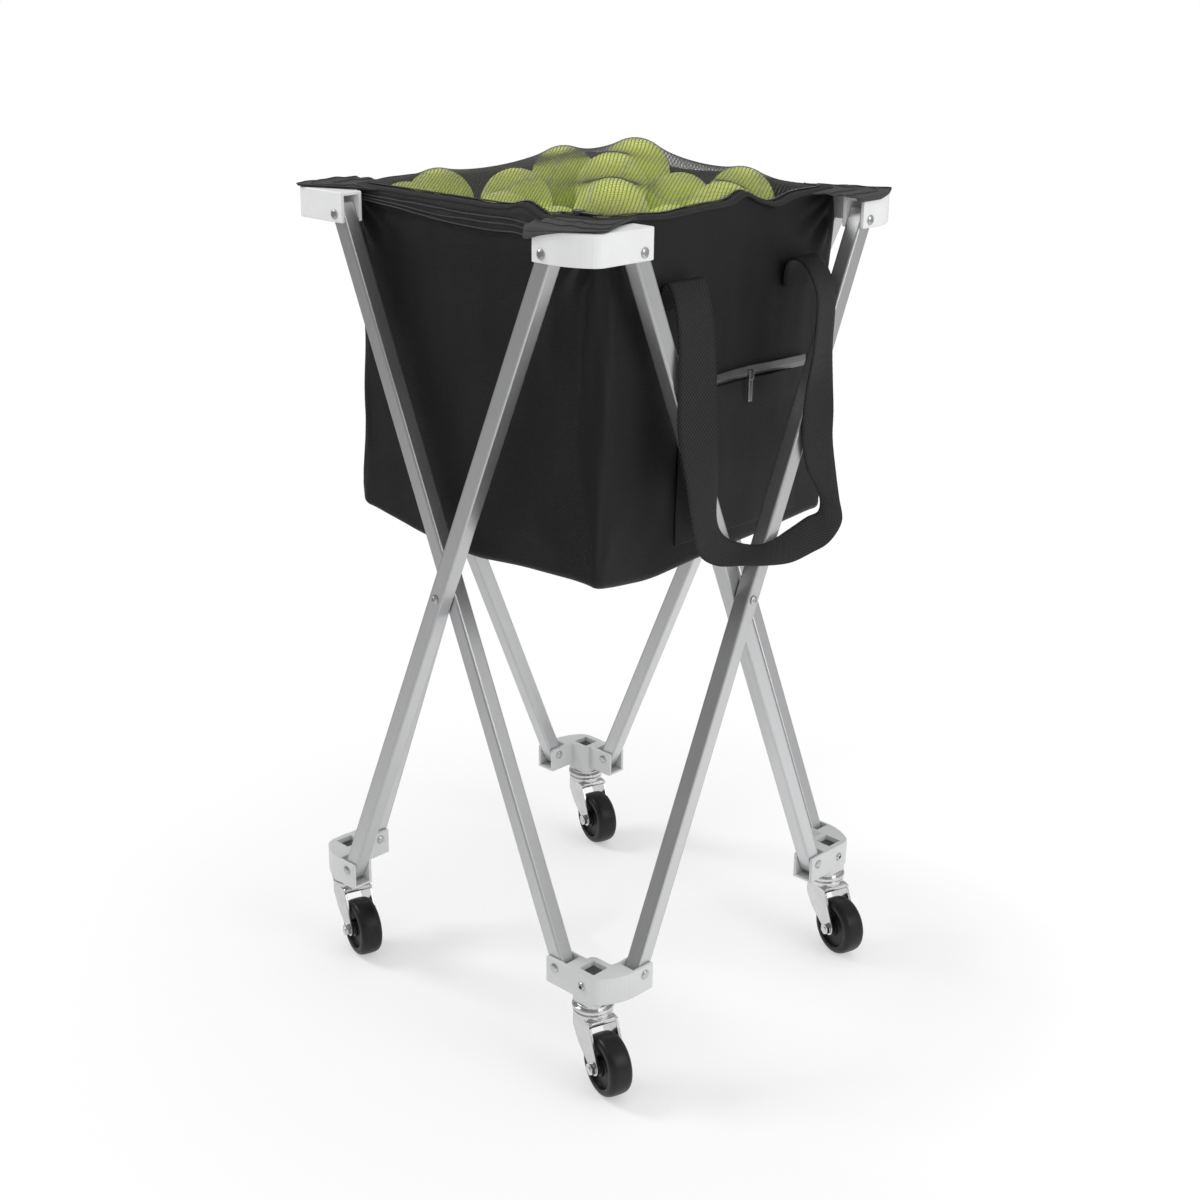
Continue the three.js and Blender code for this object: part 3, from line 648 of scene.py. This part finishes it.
# Direction in degrees, thread width, ridge and pitch of each layer of the net
NET_LAYERS = ((126.0, 1.1, 0.35, 3.3), (168.0, 0.3, 0.15, 3.3), (60.0, 0.3, 0.28, 2.8))
# Degrees by which the threads of a layer turn per millimetre across it
NET_FAN = 0.028
# Distance between the points of a thread
NET_STEP = 3.0


# Places on the stretched net, raised by lift, and the upward direction at each
def on_net(line, height, spot, lift):
    x, y = spot[:, 0], spot[:, 1]
    slope_x = (sample(line, height, x + 1, y) - sample(line, height, x - 1, y)) / 2
    slope_y = (sample(line, height, x, y + 1) - sample(line, height, x, y - 1)) / 2
    up = np.stack([-slope_x, -slope_y, np.ones_like(x)], -1)
    up /= np.linalg.norm(up, axis=1, keepdims=True)
    return np.stack([x, y, sample(line, height, x, y)], -1) + up * lift, up


def add_net(spots, look):
    line, height = stretch_net(spots)
    vertices, faces, area = [], [], 0.0
    for layer, (turn, wide, ridge, pitch) in enumerate(NET_LAYERS):
        across = np.array([-math.sin(math.radians(turn)), math.cos(math.radians(turn))])
        reach = NET_HALF * 1.45
        for offset in np.arange(-reach, reach, pitch):
            way = math.radians(turn + NET_FAN * offset)
            along = np.array([math.cos(way), math.sin(way)])
            travel = np.arange(-reach, reach, NET_STEP)
            spot = offset * across + travel[:, None] * along
            spot = spot[in_rounded_square(spot[:, 0], spot[:, 1], NET_HALF - 0.2, NET_CORNER)]
            if len(spot) < 2:
                continue
            path, up = on_net(line, height, spot, 0.05 + 0.1 * layer)
            side = np.cross(np.gradient(path, axis=0), up)
            side *= wide / 2 / np.linalg.norm(side, axis=1, keepdims=True)
            start = len(vertices)
            rows = np.stack([path - side, path + up * ridge, path + side], 1).reshape(-1, 3)
            vertices.extend(rows.tolist())
            faces.extend(grid_faces(len(path), 3, start, flip=True))
            area += np.linalg.norm(np.diff(path, axis=0), axis=1).sum() * wide
    net = mesh_object("net_lid", vertices, faces, look)
    # Left out of the shadows, so that the balls under it stay as bright as in the photograph
    net.visible_shadow = False
    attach(net, "bag")
    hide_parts("lid")
    side = 2 * NET_HALF * MM


# Bag

# Height of the bag's lower edge by share of the way round, anticlockwise from the middle of the right side
BOTTOM_EDGE = (
    (0.0, 466), (0.0625, 470), (0.118, 475), (0.135, 474), (0.19, 464), (0.25, 460), (0.31, 465), (0.37, 473),
    (0.44, 465), (0.5, 461), (0.56, 466), (0.615, 477), (0.63, 478), (0.69, 466), (0.75, 459.5), (0.80, 466),
    (0.857, 469), (0.875, 467.5), (0.893, 464), (0.93, 459.5), (1.0, 466),
)


# The same heights at evenly spaced places, smoothed
def bottom_edge(count):
    shares, heights = zip(*BOTTOM_EDGE)
    edge = np.interp(np.arange(count) / count, shares, heights)
    soft = np.ones(9) / 9
    return np.convolve(np.r_[edge[-4:], edge, edge[:4]], soft, "valid")


# How far a wall stands out past its flat plane, in code and not by simulation: round the balls behind it,
# in soft folds all over, and in pleats that fan from the top corners
def swell(places, outward, spots):
    x, y, z = places[..., 0], places[..., 1], places[..., 2]
    total = np.zeros_like(x)
    for spot in spots:
        near = np.abs(spot[:2]).max()
        if near < 105:
            continue
        far = (x - spot[0]) ** 2 + (y - spot[1]) ** 2 + (z - spot[2]) ** 2
        total += 2.2 * np.exp(-(far - BALL_R ** 2) / 900.0) * (near - 100) / 22.0
    along = x * -outward[..., 1] + y * outward[..., 0]
    lean = np.abs(along)
    corner = np.clip((lean - 60) / 90, 0, 1)
    high = np.clip((z - 560) / 220, 0, 1)
    low = np.clip((560 - z) / 100, 0, 1)
    folds = np.sin(lean / 7.5 + z / 38.0 + x / 90.0) * 0.7
    folds += np.sin(lean / 4.3 - z / 52.0 + y / 70.0) * 0.35
    total += folds * (0.25 + 0.75 * corner) * (0.3 + high)
    across, down = 160 - lean, 782 - z
    spread = np.hypot(across, down)
    fan = np.sin(np.arctan2(down, across) * 17 + x / 60.0) * np.exp(-((spread - 34) / 30) ** 2)
    total += 2.3 * fan
    total += np.sin((lean + z) / 8.5) * 0.7 * low * corner
    total += np.sin(along / 31.0 + z / 47.0 + x / 60.0) * 1.1 + np.sin(along / 17.0 - z / 23.0) * 0.35
    return np.clip(total, -2.5, 8.5)


# The back right flap pulls its corner of the bag outwards
def corner_pull(places, share):
    away = np.hypot(places[:, 0] - BAG_HALF, places[:, 1] - BAG_HALF)
    pull = 4.0 * np.exp(-(away / 26) ** 2) * math.exp(-share * 4) * min(1, share * 12)
    return pull[:, None] * np.array([0.71, 0.71, 0.0])


def add_bag(spots, look):
    count, rows = 360, 110
    rings = []
    edge_z = bottom_edge(count)
    for row in range(rows):
        share = row / (rows - 1)
        radius = 9 + 14 * math.sin(math.pi * min(1, share * 1.05)) ** 0.8
        half = BAG_HALF - 1.2 * (1 - share) ** 6
        places, outward = square_ring(count, half, radius)
        top = net_edge_z(places[:, 0], places[:, 1]) - 2.2
        places[:, 2] = top + (edge_z + 7 - top) * share
        hold = min(1, share * 9) * min(1, (1 - share) * 9 + 0.2)
        places += outward * (swell(places, outward, spots) * hold)[:, None]
        rings.append(places + corner_pull(places, share))
    wall_low = rings[-1]
    _, outward = square_ring(count, BAG_HALF, 15)
    for step in range(1, 6):
        turn = math.pi / 2 * step / 5
        places = wall_low - outward * 7 * (1 - math.cos(turn))
        places[:, 2] -= 7 * math.sin(turn)
        rings.append(places)
    edge = rings[-1]
    for step in range(1, 16):
        share = step / 16
        places = edge * np.array([1 - share, 1 - share, 1.0])
        sag = 457.5 - 2.5 * math.sin(math.pi * share)
        places[:, 2] = edge[:, 2] + (sag - edge[:, 2]) * min(1, share * 3.0) ** 0.7
        rings.append(places)
    middle = np.array([[0.0, 0.0, 456.5]])
    faces = grid_faces(len(rings), count, closed=True, flip=True)
    last = (len(rings) - 1) * count
    faces += [(last + j, last + (j + 1) % count, len(rings) * count)[::-1] for j in range(count)]
    vertices = np.concatenate(rings + [middle])
    bag = mesh_object("bag_shell", vertices, faces, look, uv=bag_uv(rings, count), wrap=ROUND)
    thicken(bag, 1.1)
    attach(bag, "bag")
    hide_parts("bag_body")


# Cloth coordinates: round the bag, and down its wall and on over its floor
def bag_uv(rings, count):
    rings = np.array(rings)
    around = np.arange(count) / count * ROUND
    down = np.cumsum(np.r_[0, np.linalg.norm(np.diff(rings[:, 0], axis=0), axis=1)])
    uv = np.stack(np.broadcast_arrays(around[None], down[:, None]), -1).reshape(-1, 2)
    return np.concatenate([uv, [[0, down[-1]]]])


# Height of each thin piping under the rim of a side, by place along it from left to right
PIPINGS = (
    ((-146, 774), (-57, 772.7), (9, 771), (58, 772.5), (84, 770), (104, 772), (128, 772)),
    ((-146, 772), (-92, 769.5), (-35, 766), (30, 766.5), (58, 768), (82, 765), (104, 768), (128, 768)),
    ((-146, 770), (-81, 766), (-17, 761), (30, 760.5), (62, 762), (90, 760), (128, 762)),
)


# How far the folded tape hangs below the edge: past the pipings on three sides, a plain binding on the right
def tape_drop(x, y):
    if x > BAG_HALF - 12:
        return 3.6
    along = x if y < -BAG_HALF + 12 else -y
    if y > BAG_HALF - 12:
        along = -x
    lowest = np.interp(along, *zip(*PIPINGS[-1]))
    return float(np.clip(net_edge_z(x, y) - lowest, 4, 24))


# The bound rim: zip band on top, then folded tape down to the lowest piping
def rim_profile(tall):
    return [
        (-9.4, -0.4, 0.0), (-8.2, 1.0, 0.0), (-6.2, 0.6, 0.0), (-3.5, 1.0, 0.0), (-1.0, 1.0, 0.0),
        (0.6, 0.4, 0.0), (1.5, -0.8, 0.0), (1.5, -2.0, 0.0), (0.9, -3.0, 0.0),
        (1.5, -0.3 * tall, 1.0), (0.9, -0.5 * tall, 1.0), (1.7, -0.7 * tall, 1.0), (1.2, -0.88 * tall, 1.0),
        (1.1, -tall, 1.0), (0.3, -tall - 0.4, 1.0),
    ]


def add_rim(look):
    count = 640
    places, outward = square_ring(count, BAG_HALF, 17)
    drops = np.array([tape_drop(*spot[:2]) for spot in places])
    drops = np.convolve(np.r_[drops[-6:], drops, drops[:6]], np.ones(13) / 13, "valid")
    rows = []
    for spot, out, drop in zip(places, outward, drops):
        x, y = spot[0], spot[1]
        wave = 0.5 * math.sin(x / 13.0 + y / 17.0) + 0.35 * math.sin(x / 5.3 - y / 6.1)
        top = float(net_edge_z(x, y)) - 0.6 + wave * 0.5
        row = []
        for off, low, puff in rim_profile(drop):
            out_by = off + wave * (0.3 + 0.5 * puff)
            row.append(spot + out * out_by + np.array([0, 0, top + low]))
        rows.append(through(row, 44))
    rows = np.array(rows)
    width = rows.shape[1]
    faces = grid_faces(count, width)
    last = (count - 1) * width
    faces += [(last + j, last + j + 1, j + 1, j) for j in range(width - 1)]
    down = np.linspace(0, 34, width)
    around = np.arange(count) / count * ROUND
    uv = np.stack(np.broadcast_arrays(around[:, None], down[None]), -1).reshape(-1, 2)
    rim = mesh_object("rim_band", rows.reshape(-1, 3), faces, look, uv=uv, wrap=ROUND)
    thicken(rim, 0.9)
    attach(rim, "bag")


# Thin round beading along a path
def beading(name, path, radius, look, sides=7):
    path = np.asarray(path, float)
    run = np.gradient(path, axis=0)
    run /= np.linalg.norm(run, axis=1, keepdims=True)
    first = np.cross(run, np.array([0.0, 0.0, 1.0]))
    first /= np.linalg.norm(first, axis=1, keepdims=True)
    second = np.cross(run, first)
    rows = []
    for at in range(sides):
        turn = 2 * math.pi * at / sides
        rows.append(path + radius * (math.cos(turn) * first + math.sin(turn) * second))
    rows = np.stack(rows, 1)
    faces = grid_faces(len(path), sides, closed=True)
    faces += end_faces(len(path), sides)
    uv = np.stack(np.broadcast_arrays(np.arange(len(path))[:, None] * 1.5, np.arange(sides)[None]), -1)
    bead = mesh_object(name, rows.reshape(-1, 3), faces, look, uv=uv.reshape(-1, 2))
    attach(bead, "bag")


def add_pipings(look):
    for turns, side in ((0, "front"), (2, "back"), (3, "left")):
        for at, piping in enumerate(PIPINGS):
            along = np.linspace(-144, 126, 181)
            height = np.interp(along, *zip(*piping))
            height = np.convolve(np.r_[[height[0]] * 5, height, [height[-1]] * 5], np.ones(11) / 11, "valid")
            wave = 0.5 * np.sin(along / 13.0 + 1.3 * at) + 0.3 * np.sin(along / 5.9 + 2.1 * at)
            out = BAG_HALF + 2.6 + 0.35 * at * (at - 1) + 0.4 * wave
            path = quarter(np.stack([along, -out, height + 0.4 * wave], -1), turns)
            beading(f"rim_piping_{side}_{at}", path, 0.55, look)


# Corners of a small box, each 1 or -1 along its axes, and the box's faces
BOX = [(a, b, c) for a in (-1, 1) for b in (-1, 1) for c in (-1, 1)]
BOX_FACES = [(0, 1, 3, 2), (4, 6, 7, 5), (0, 4, 5, 1), (2, 3, 7, 6), (0, 2, 6, 4), (1, 5, 7, 3)]


# A row of small zip teeth beside the net, on three sides
def add_zip(look):
    places, outward = square_ring(900, BAG_HALF - 8.0, 17)
    vertices, faces = [], []
    for at, (spot, out) in enumerate(zip(places, outward)):
        x, y = spot[0], spot[1]
        if x < -BAG_HALF + 20:
            continue
        z = float(net_edge_z(np.array(x), np.array(y))) + 1.1
        run = np.array([-out[1], out[0], 0])
        shift = 0.7 if at % 2 else -0.7
        corners = []
        for a, b, c in BOX:
            corners.append(spot + run * (0.42 * a) + out * (shift + 1.1 * b) + np.array([0, 0, z + 0.5 * c]))
        start = len(vertices)
        vertices.extend(corners)
        faces.extend([tuple(start + corner for corner in face) for face in BOX_FACES])
    teeth = mesh_object("lid_zip_teeth", vertices, faces, look, smooth=False)
    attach(teeth, "bag")


# Corner flaps

# The seam of a flap at the bag, and its free edge over the bracket
FLAP_INNER = [
    (112, -156.5, 779), (130, -157.5, 780.5), (146, -157, 781), (154, -153, 781),
    (157, -146, 781), (157.5, -130, 780.5), (156.5, -116, 779),
]
FLAP_EDGE = [
    (119, -206.5, 769.5), (126, -209.3, 769.0), (140, -209.0, 773.2), (156, -208.4, 776.6),
    (170, -204.4, 778.6), (181, -198.0, 779.4), (189, -193.0, 779.8), (192.5, -188, 780.0),
    (186, -175, 779.6), (176, -155, 779.6), (167, -134, 779.6), (160, -117, 779),
]


def add_flap(corner, look, bead_look):
    across, deep = 110, 38
    inner = through(FLAP_INNER, across)
    edge = through(FLAP_EDGE, across)
    if corner:
        edge[:, 2] = np.maximum(edge[:, 2], 775.6)
    lip = edge.copy()
    inward = np.array([150.0, -150.0, 0.0]) - edge
    inward[:, 2] = 0
    inward /= np.linalg.norm(inward, axis=1, keepdims=True)
    hang = np.clip((779.2 - edge[:, 2]) / 3.0, 0, 1)[:, None]
    lip += inward * 2.2 * hang
    lip[:, 2] = np.maximum(lip[:, 2], 779.3)
    along = np.linspace(0, 1, across)
    phase = 1.7 * corner
    tip = np.clip(1 - np.abs(along - 0.62) / 0.12, 0, 1) ** 0.8
    rows = []
    for step in range(deep):
        share = step / (deep - 1)
        if share < 0.86:
            part = share / 0.86
            row = inner + (lip - inner) * part
            rise = np.clip(part * 4, 0, 1)
            row[:, 2] = inner[:, 2] + (779.4 - inner[:, 2]) * rise
        else:
            part = (share - 0.86) / 0.14
            row = lip + (edge - lip) * np.array([part ** 0.6, part ** 0.6, part ** 1.6])
        dome = math.sin(math.pi * min(1.0, share * 1.08)) ** 0.7
        ripple = np.sin(along * 42 + phase) * 0.35 + np.sin(along * 23 - phase * 2) * 0.45
        folds = 0.8 * np.sin(share * 21 + along * 4 + phase) * np.clip(share * 3, 0, 1)
        row[:, 2] += np.clip((0.9 + ripple + folds) * dome * (1 - 0.6 * tip), 0, None)
        rows.append(row)
    rows = quarter(np.array(rows), corner)
    around = np.linspace(0, 110, across)
    down = np.linspace(0, 50, deep)
    uv = np.stack(np.broadcast_arrays(around[None], down[:, None]), -1).reshape(-1, 2)
    name = CORNERS[corner]
    flap = mesh_object(f"corner_flap_{name}", rows.reshape(-1, 3), grid_faces(deep, across), look, uv=uv)
    thicken(flap, 0.8, 1.0)
    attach(flap, "bag")
    for at, row in enumerate((12, 24, 35)):
        path = rows[row, 3:-8] + np.array([0, 0, 0.7])
        beading(f"flap_seam_{name}_{at}", path, 0.45, bead_look)


# Handles

# The two edges of the webbing, from the bag over the fold, down, round the loop and up to the bag again
STRAP_EDGES = [
    ((160.4, -47, 700), (160.4, -87, 700)),
    ((161.5, -47, 716), (161.5, -87, 715)),
    ((167, -47, 724), (165, -87, 723)),
    ((177, -48, 722), (170, -87, 721)),
    ((190, -54, 697), (181, -91, 705)),
    ((197, -57, 667), (189, -95, 674)),
    ((202, -59, 626), (191, -97, 630)),
    ((204.5, -59, 592), (194, -98, 597)),
    ((205.5, -59, 556), (204, -98, 558)),
    ((206, -60, 525), (211, -99, 531)),
    ((206, -51, 507), (211, -88, 499)),
    ((206, -31, 495), (213, -66, 483)),
    ((206, -4, 486), (218, -36, 477)),
    ((206, 17, 485), (222, -6, 471)),
    ((206, 47, 491), (221, 29, 465)),
    ((206, 69, 496), (221, 58, 467)),
    ((206, 86, 498), (222, 84, 472)),
    ((206, 88, 509), (216, 110, 485)),
    ((206, 79, 524), (210, 112, 506)),
    ((206, 66, 542), (211, 104, 530)),
    ((206, 57, 569), (212, 94, 566)),
    ((206, 56, 592), (211, 94, 594)),
    ((208, 57, 620), (206, 97, 622)),
    ((214, 56, 652), (206, 94, 653)),
    ((214, 58, 697), (205, 96, 697)),
    ((203, 62, 716), (193, 101, 716)),
    ((183, 74, 724.5), (174, 113, 725)),
    ((168, 77, 725), (165, 117, 725)),
    ((161.5, 78, 716), (161.5, 117, 716)),
    ((160.4, 78, 700), (160.4, 117, 700)),
]
STRAP_T = 2.0


def add_handle(name, node_name, mirrored, look):
    edges = np.array(STRAP_EDGES, float)
    long = 420
    first = through(edges[:, 0], long)
    second = through(edges[:, 1], long)
    middle = (first + second) / 2
    run = np.gradient(middle, axis=0)
    width = second - first
    flat = np.cross(run, width)
    flat /= np.linalg.norm(flat, axis=1, keepdims=True)
    travel = np.cumsum(np.r_[0, np.linalg.norm(np.diff(middle, axis=0), axis=1)])
    outline = [(share, 1) for share in np.linspace(0, 1, 9)] + [(share, -1) for share in np.linspace(1, 0, 9)]
    columns = []
    for share, face in outline:
        rib = 0.12 * np.sin(travel * 2 * math.pi / 3.1 + (0 if face > 0 else math.pi))
        edge = 1 - 0.45 * (abs(2 * share - 1) ** 6)
        cup = 1.2 * (1 - (2 * share - 1) ** 2) * np.sin(travel / 70.0)
        off = face * (STRAP_T / 2 * edge + rib * edge) + cup
        columns.append(first + width * share + flat * off[:, None])
    rows = np.stack(columns, 1)
    count = rows.shape[1]
    vertices = rows.reshape(-1, 3)
    faces = grid_faces(long, count, closed=True)
    faces += end_faces(long, count)
    if mirrored:
        vertices = vertices * np.array([-1, 1, 1])
        faces = [face[::-1] for face in faces]
    across = np.array([share for share, _ in outline]) * 40
    uv = np.stack(np.broadcast_arrays(travel[:, None], across[None]), -1).reshape(-1, 2)
    strap = mesh_object(name, vertices, faces, look, uv=uv)
    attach(strap, "bag")
    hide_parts(node_name)


# Side pocket

def add_pocket(spots, look, tape_look):
    wide, tall = 110, 96
    y = np.linspace(POCKET_Y[0], POCKET_Y[1], wide)
    z = np.linspace(POCKET_Z[0], POCKET_Z[1] - TAPE_H, tall)
    grid_y, grid_z = np.meshgrid(y, z)
    places = np.stack([np.full_like(grid_y, BAG_HALF), grid_y, grid_z], -1)
    outward = np.broadcast_to(np.array([1.0, 0.0, 0.0]), places.shape)
    base = BAG_HALF + swell(places, outward, spots)
    u = (grid_y - POCKET_Y[0]) / (POCKET_Y[1] - POCKET_Y[0])
    v = (grid_z - POCKET_Z[0]) / (POCKET_Z[1] - POCKET_Z[0])
    puff = 2.4 * (1 - (2 * u - 1) ** 8) * (1 - (1 - v) ** 8) * (0.5 + 0.5 * v)
    x = base + 0.4 + puff + 0.3 * np.sin(grid_y / 9 + grid_z / 14) * v
    panel = np.stack([x, grid_y, grid_z], -1).reshape(-1, 3)
    uv = np.stack([grid_y, grid_z], -1).reshape(-1, 2)
    pocket = mesh_object("pocket_panel", panel, grid_faces(tall, wide), look, uv=uv)
    thicken(pocket, 1.0, 1.0)
    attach(pocket, "bag")
    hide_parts("side_pocket")
    add_pocket_tape(spots, tape_look)


# Section of the zip tape: share of its height, and how far it stands out
TAPE_PROFILE = (
    (0.0, 0.2), (0.0, 2.4), (0.44, 2.7), (0.47, 3.7), (0.53, 3.7), (0.56, 2.7), (1.0, 2.4), (1.0, 0.2),
)


def add_pocket_tape(spots, look):
    wide = 160
    y = np.linspace(POCKET_Y[0] - 1, POCKET_Y[1] + 1, wide)
    bottom, top = POCKET_Z[1] - TAPE_H, POCKET_Z[1]
    rows = []
    for share, off in TAPE_PROFILE:
        z = bottom + (top - bottom) * share + 0.5 * np.sin(y / 21.0)
        places = np.stack([np.full_like(y, BAG_HALF), y, z], -1)
        outward = np.broadcast_to(np.array([1.0, 0.0, 0.0]), places.shape)
        x = BAG_HALF + swell(places, outward, spots) + off + 0.5 + 0.25 * np.sin(y / 11.0)
        rows.append(np.stack([x, y, z], -1))
    rows = np.array(rows)
    vertices = rows.reshape(-1, 3)
    faces = grid_faces(len(rows), wide)
    around = np.broadcast_to(y[None], rows.shape[:2])
    down = np.broadcast_to(np.linspace(0, 14, len(rows))[:, None], rows.shape[:2])
    uv = np.stack([around, down], -1).reshape(-1, 2)
    tape = mesh_object("pocket_zip_tape", vertices, faces, look, uv=uv)
    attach(tape, "bag")


# Wheels and socket screws

# Radius and place along the axle of the wheel's section
WHEEL_PROFILE = [
    (3.2, -10.9), (8.2, -10.9), (8.9, -10.3), (9.6, -7.6), (19.4, -7.4), (20.4, -8.2), (20.9, -10.4),
    (21.6, -11.3), (23.6, -11.5), (25.6, -11.1), (27.3, -10.0), (28.4, -8.4), (29.0, -6.2), (29.25, -3.0),
    (29.3, 0.0),
]


def lathe(profile, sides):
    rows = []
    for radius, along in profile:
        turn = np.linspace(0, 2 * math.pi, sides, endpoint=False)
        rows.append(np.stack([radius * np.cos(turn), np.full(sides, along), radius * np.sin(turn)], -1))
    return np.array(rows)


# Turn of each wheel's axle in degrees, as in the photograph
WHEEL_YAW = -17.0


def add_wheel(corner, look):
    profile = WHEEL_PROFILE + [(radius, -along) for radius, along in WHEEL_PROFILE[-2::-1]]
    smooth = through(profile, 90)
    rows = lathe(smooth, 96)
    low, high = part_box(f"caster_wheel_{corner}")
    middle = [(a + b) / 2 / MM for a, b in zip(low, high)]
    vertices = rows.reshape(-1, 3)
    yaw = math.radians(WHEEL_YAW)
    spun = np.stack([
        vertices[:, 0] * math.cos(yaw) - vertices[:, 1] * math.sin(yaw),
        vertices[:, 0] * math.sin(yaw) + vertices[:, 1] * math.cos(yaw),
        vertices[:, 2],
    ], -1)
    faces = grid_faces(len(rows), 96, closed=True, flip=True)
    last = (len(rows) - 1) * 96
    faces += [(j, (j + 1) % 96, last + (j + 1) % 96, last + j) for j in range(96)]
    wheel = mesh_object(f"wheel_{corner}_tread", spun + np.array(middle), faces, look)
    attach(wheel, f"wheel_{corner}")
    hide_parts(f"caster_wheel_{corner}")


# A round recessed head that faces out of the front side: radius and depth of its section
HEAD_PROFILE = [
    (0.01, -0.3), (0.8, -0.3), (1.5, -0.3), (1.7, -0.6), (1.8, -1.7), (2.1, -2.1), (2.9, -2.0),
    (3.7, -1.4), (4.2, 0.3),
]


# Middle of the socket screw's head on the front right lower bracket
SCREW_SPOT = (174.9, -190.0, 101.0)


def add_head(name, body, place, turns, scale, look, dark):
    rows = lathe(HEAD_PROFILE, 36) * scale
    vertices = quarter(rows.reshape(-1, 3) + np.array(place), turns)
    head = mesh_object(name, vertices, grid_faces(len(rows), 36, closed=True), look)
    # Painted shade: the faces of the recess in the middle of the head take the dark look
    head.data.materials.append(dark)
    for at, face in enumerate(head.data.polygons):
        face.material_index = 1 if at < 4 * 36 else 0
    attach(head, body)


# The dark end of the caster's plug in the square hole of its bracket
def add_plug_cap(corner, look):
    low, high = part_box(f"caster_stem_{corner}")
    middle = np.array([(low[0] + high[0]) / 2, (low[1] + high[1]) / 2, high[2]]) / MM
    rings = []
    for half, rise in ((8.5, -0.5), (8.5, 3.0), (8.0, 3.5), (5.0, 3.6), (4.6, 3.0), (0.05, 2.9)):
        places, _ = square_ring(48, half, min(1.6, half * 0.9))
        places[:, 2] = rise
        rings.append(places + middle)
    faces = grid_faces(len(rings), 48, closed=True)
    cap = mesh_object(f"plug_cap_{corner}", np.concatenate(rings), faces, look, smooth=False)
    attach(cap, f"lower_{corner}")


# Finish of the frame's own pieces

def paint(name, look):
    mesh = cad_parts[name].data
    if not mesh.materials:
        mesh.materials.append(look)
    for at in range(len(mesh.materials)):
        mesh.materials[at] = look


def dress_frame():
    white = plastic("bracket_white", 0.84, (0.995, 1.0, 1.0))
    pale = plastic("bracket_grey", 0.66, (0.985, 0.995, 1.0))
    steel = bright_metal("rivet_steel", 0.62, 0.26)
    zinc = bright_metal("caster_zinc", 0.74, 0.16)
    lean = math.atan2(280, 652.8)
    for corner in CORNERS:
        paint(f"upper_bracket_{corner}", white)
        paint(f"lower_bracket_{corner}", pale)
        for part in ("stem", "fork", "axle"):
            paint(f"caster_{part}_{corner}", zinc)
    for at, side in enumerate(SIDES):
        across = "y" if at % 2 == 0 else "x"
        flip = 1 if at < 2 else -1
        paint(f"{side}_bar_inner", drawn_metal(f"bar_{side}_inner", 0.66, 0.34, flip * lean, across))
        paint(f"{side}_bar_outer", drawn_metal(f"bar_{side}_outer", 0.66, 0.34, -flip * lean, across))
        paint(f"{side}_crossing_rivet", steel)
        for part in ("top_inner", "top_outer", "low_inner", "low_outer"):
            paint(f"{side}_rivet_{part}", steel)
    slider = bright_metal("zip_slider", 0.7, 0.2)
    paint("lid_zip_slider", bright_metal("lid_slider", 0.14, 0.3))
    paint("pocket_zip_slider", slider)
    return steel


def main():
    scene = bpy.context.scene
    scene.view_settings.view_transform = "Standard"
    add_camera()
    add_world(0.22, 0.95)
    add_floor()
    add_lamp("key", (-1.8, -1.0, 2.2), (0, 0, 0.4), 0.9, 26)
    add_lamp("fill", (2.6, 0.4, 1.6), (0, 0, 0.5), 1.6, 14)
    steel = dress_frame()
    spots = settle_balls()
    add_balls(spots)
    bag_look = cloth("bag_cloth", grey(0.0015), grey(0.008), 0.0022, 0.0022, 0.0007, 0.5, 0.34)
    rim_look = cloth("rim_cloth", grey(0.012), grey(0.05), 0.0012, 0.0012, 0.0005, 0.7, 0.25)
    flap_look = cloth("flap_cloth", grey(0.03), grey(0.11), 0.0014, 0.0014, 0.0005, 0.7, 0.3)
    bead_look = cloth("rim_beading", grey(0.05), grey(0.12), 0.0012, 0.0012, 0.0003, 0.7, 0.2)
    strap_look = cloth("webbing", grey(0.005), grey(0.028), 0.0042, 0.0031, 0.0008, 0.6, 0.3)
    add_bag(spots, bag_look)
    add_rim(rim_look)
    add_pipings(bead_look)
    add_net(spots, net_thread())
    for corner in range(4):
        add_flap(corner, flap_look, bead_look)
    add_handle("handle_strap_right", "handle_right", False, strap_look)
    add_handle("handle_strap_left", "handle_left", True, strap_look)
    add_pocket(spots, bag_look, bright_metal("zip_tape", 0.28, 0.35))
    add_zip(bright_metal("zip_teeth", 0.12, 0.3))
    rubber = tread()
    # The plug cap's own dark colour, also used as painted shade in the recesses of the heads
    cap_and_recess_shade = plastic("plug_cap", 0.06, (1.0, 1.0, 1.0))
    for turns, corner in enumerate(CORNERS):
        add_wheel(corner, rubber)
        add_head(f"socket_screw_{corner}", f"lower_{corner}", SCREW_SPOT, turns, 1.0, steel, cap_and_recess_shade)
        add_plug_cap(corner, cap_and_recess_shade)
    low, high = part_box("front_crossing_rivet")
    spot = ((low[0] + high[0]) / 2 / MM, low[1] / MM + 1.0, (low[2] + high[2]) / 2 / MM)
    for turns, side in enumerate(("front", "right", "back", "left")):
        add_head(f"crossing_head_{side}", f"{side}_outer", spot, turns, 0.8, steel, cap_and_recess_shade)


main()
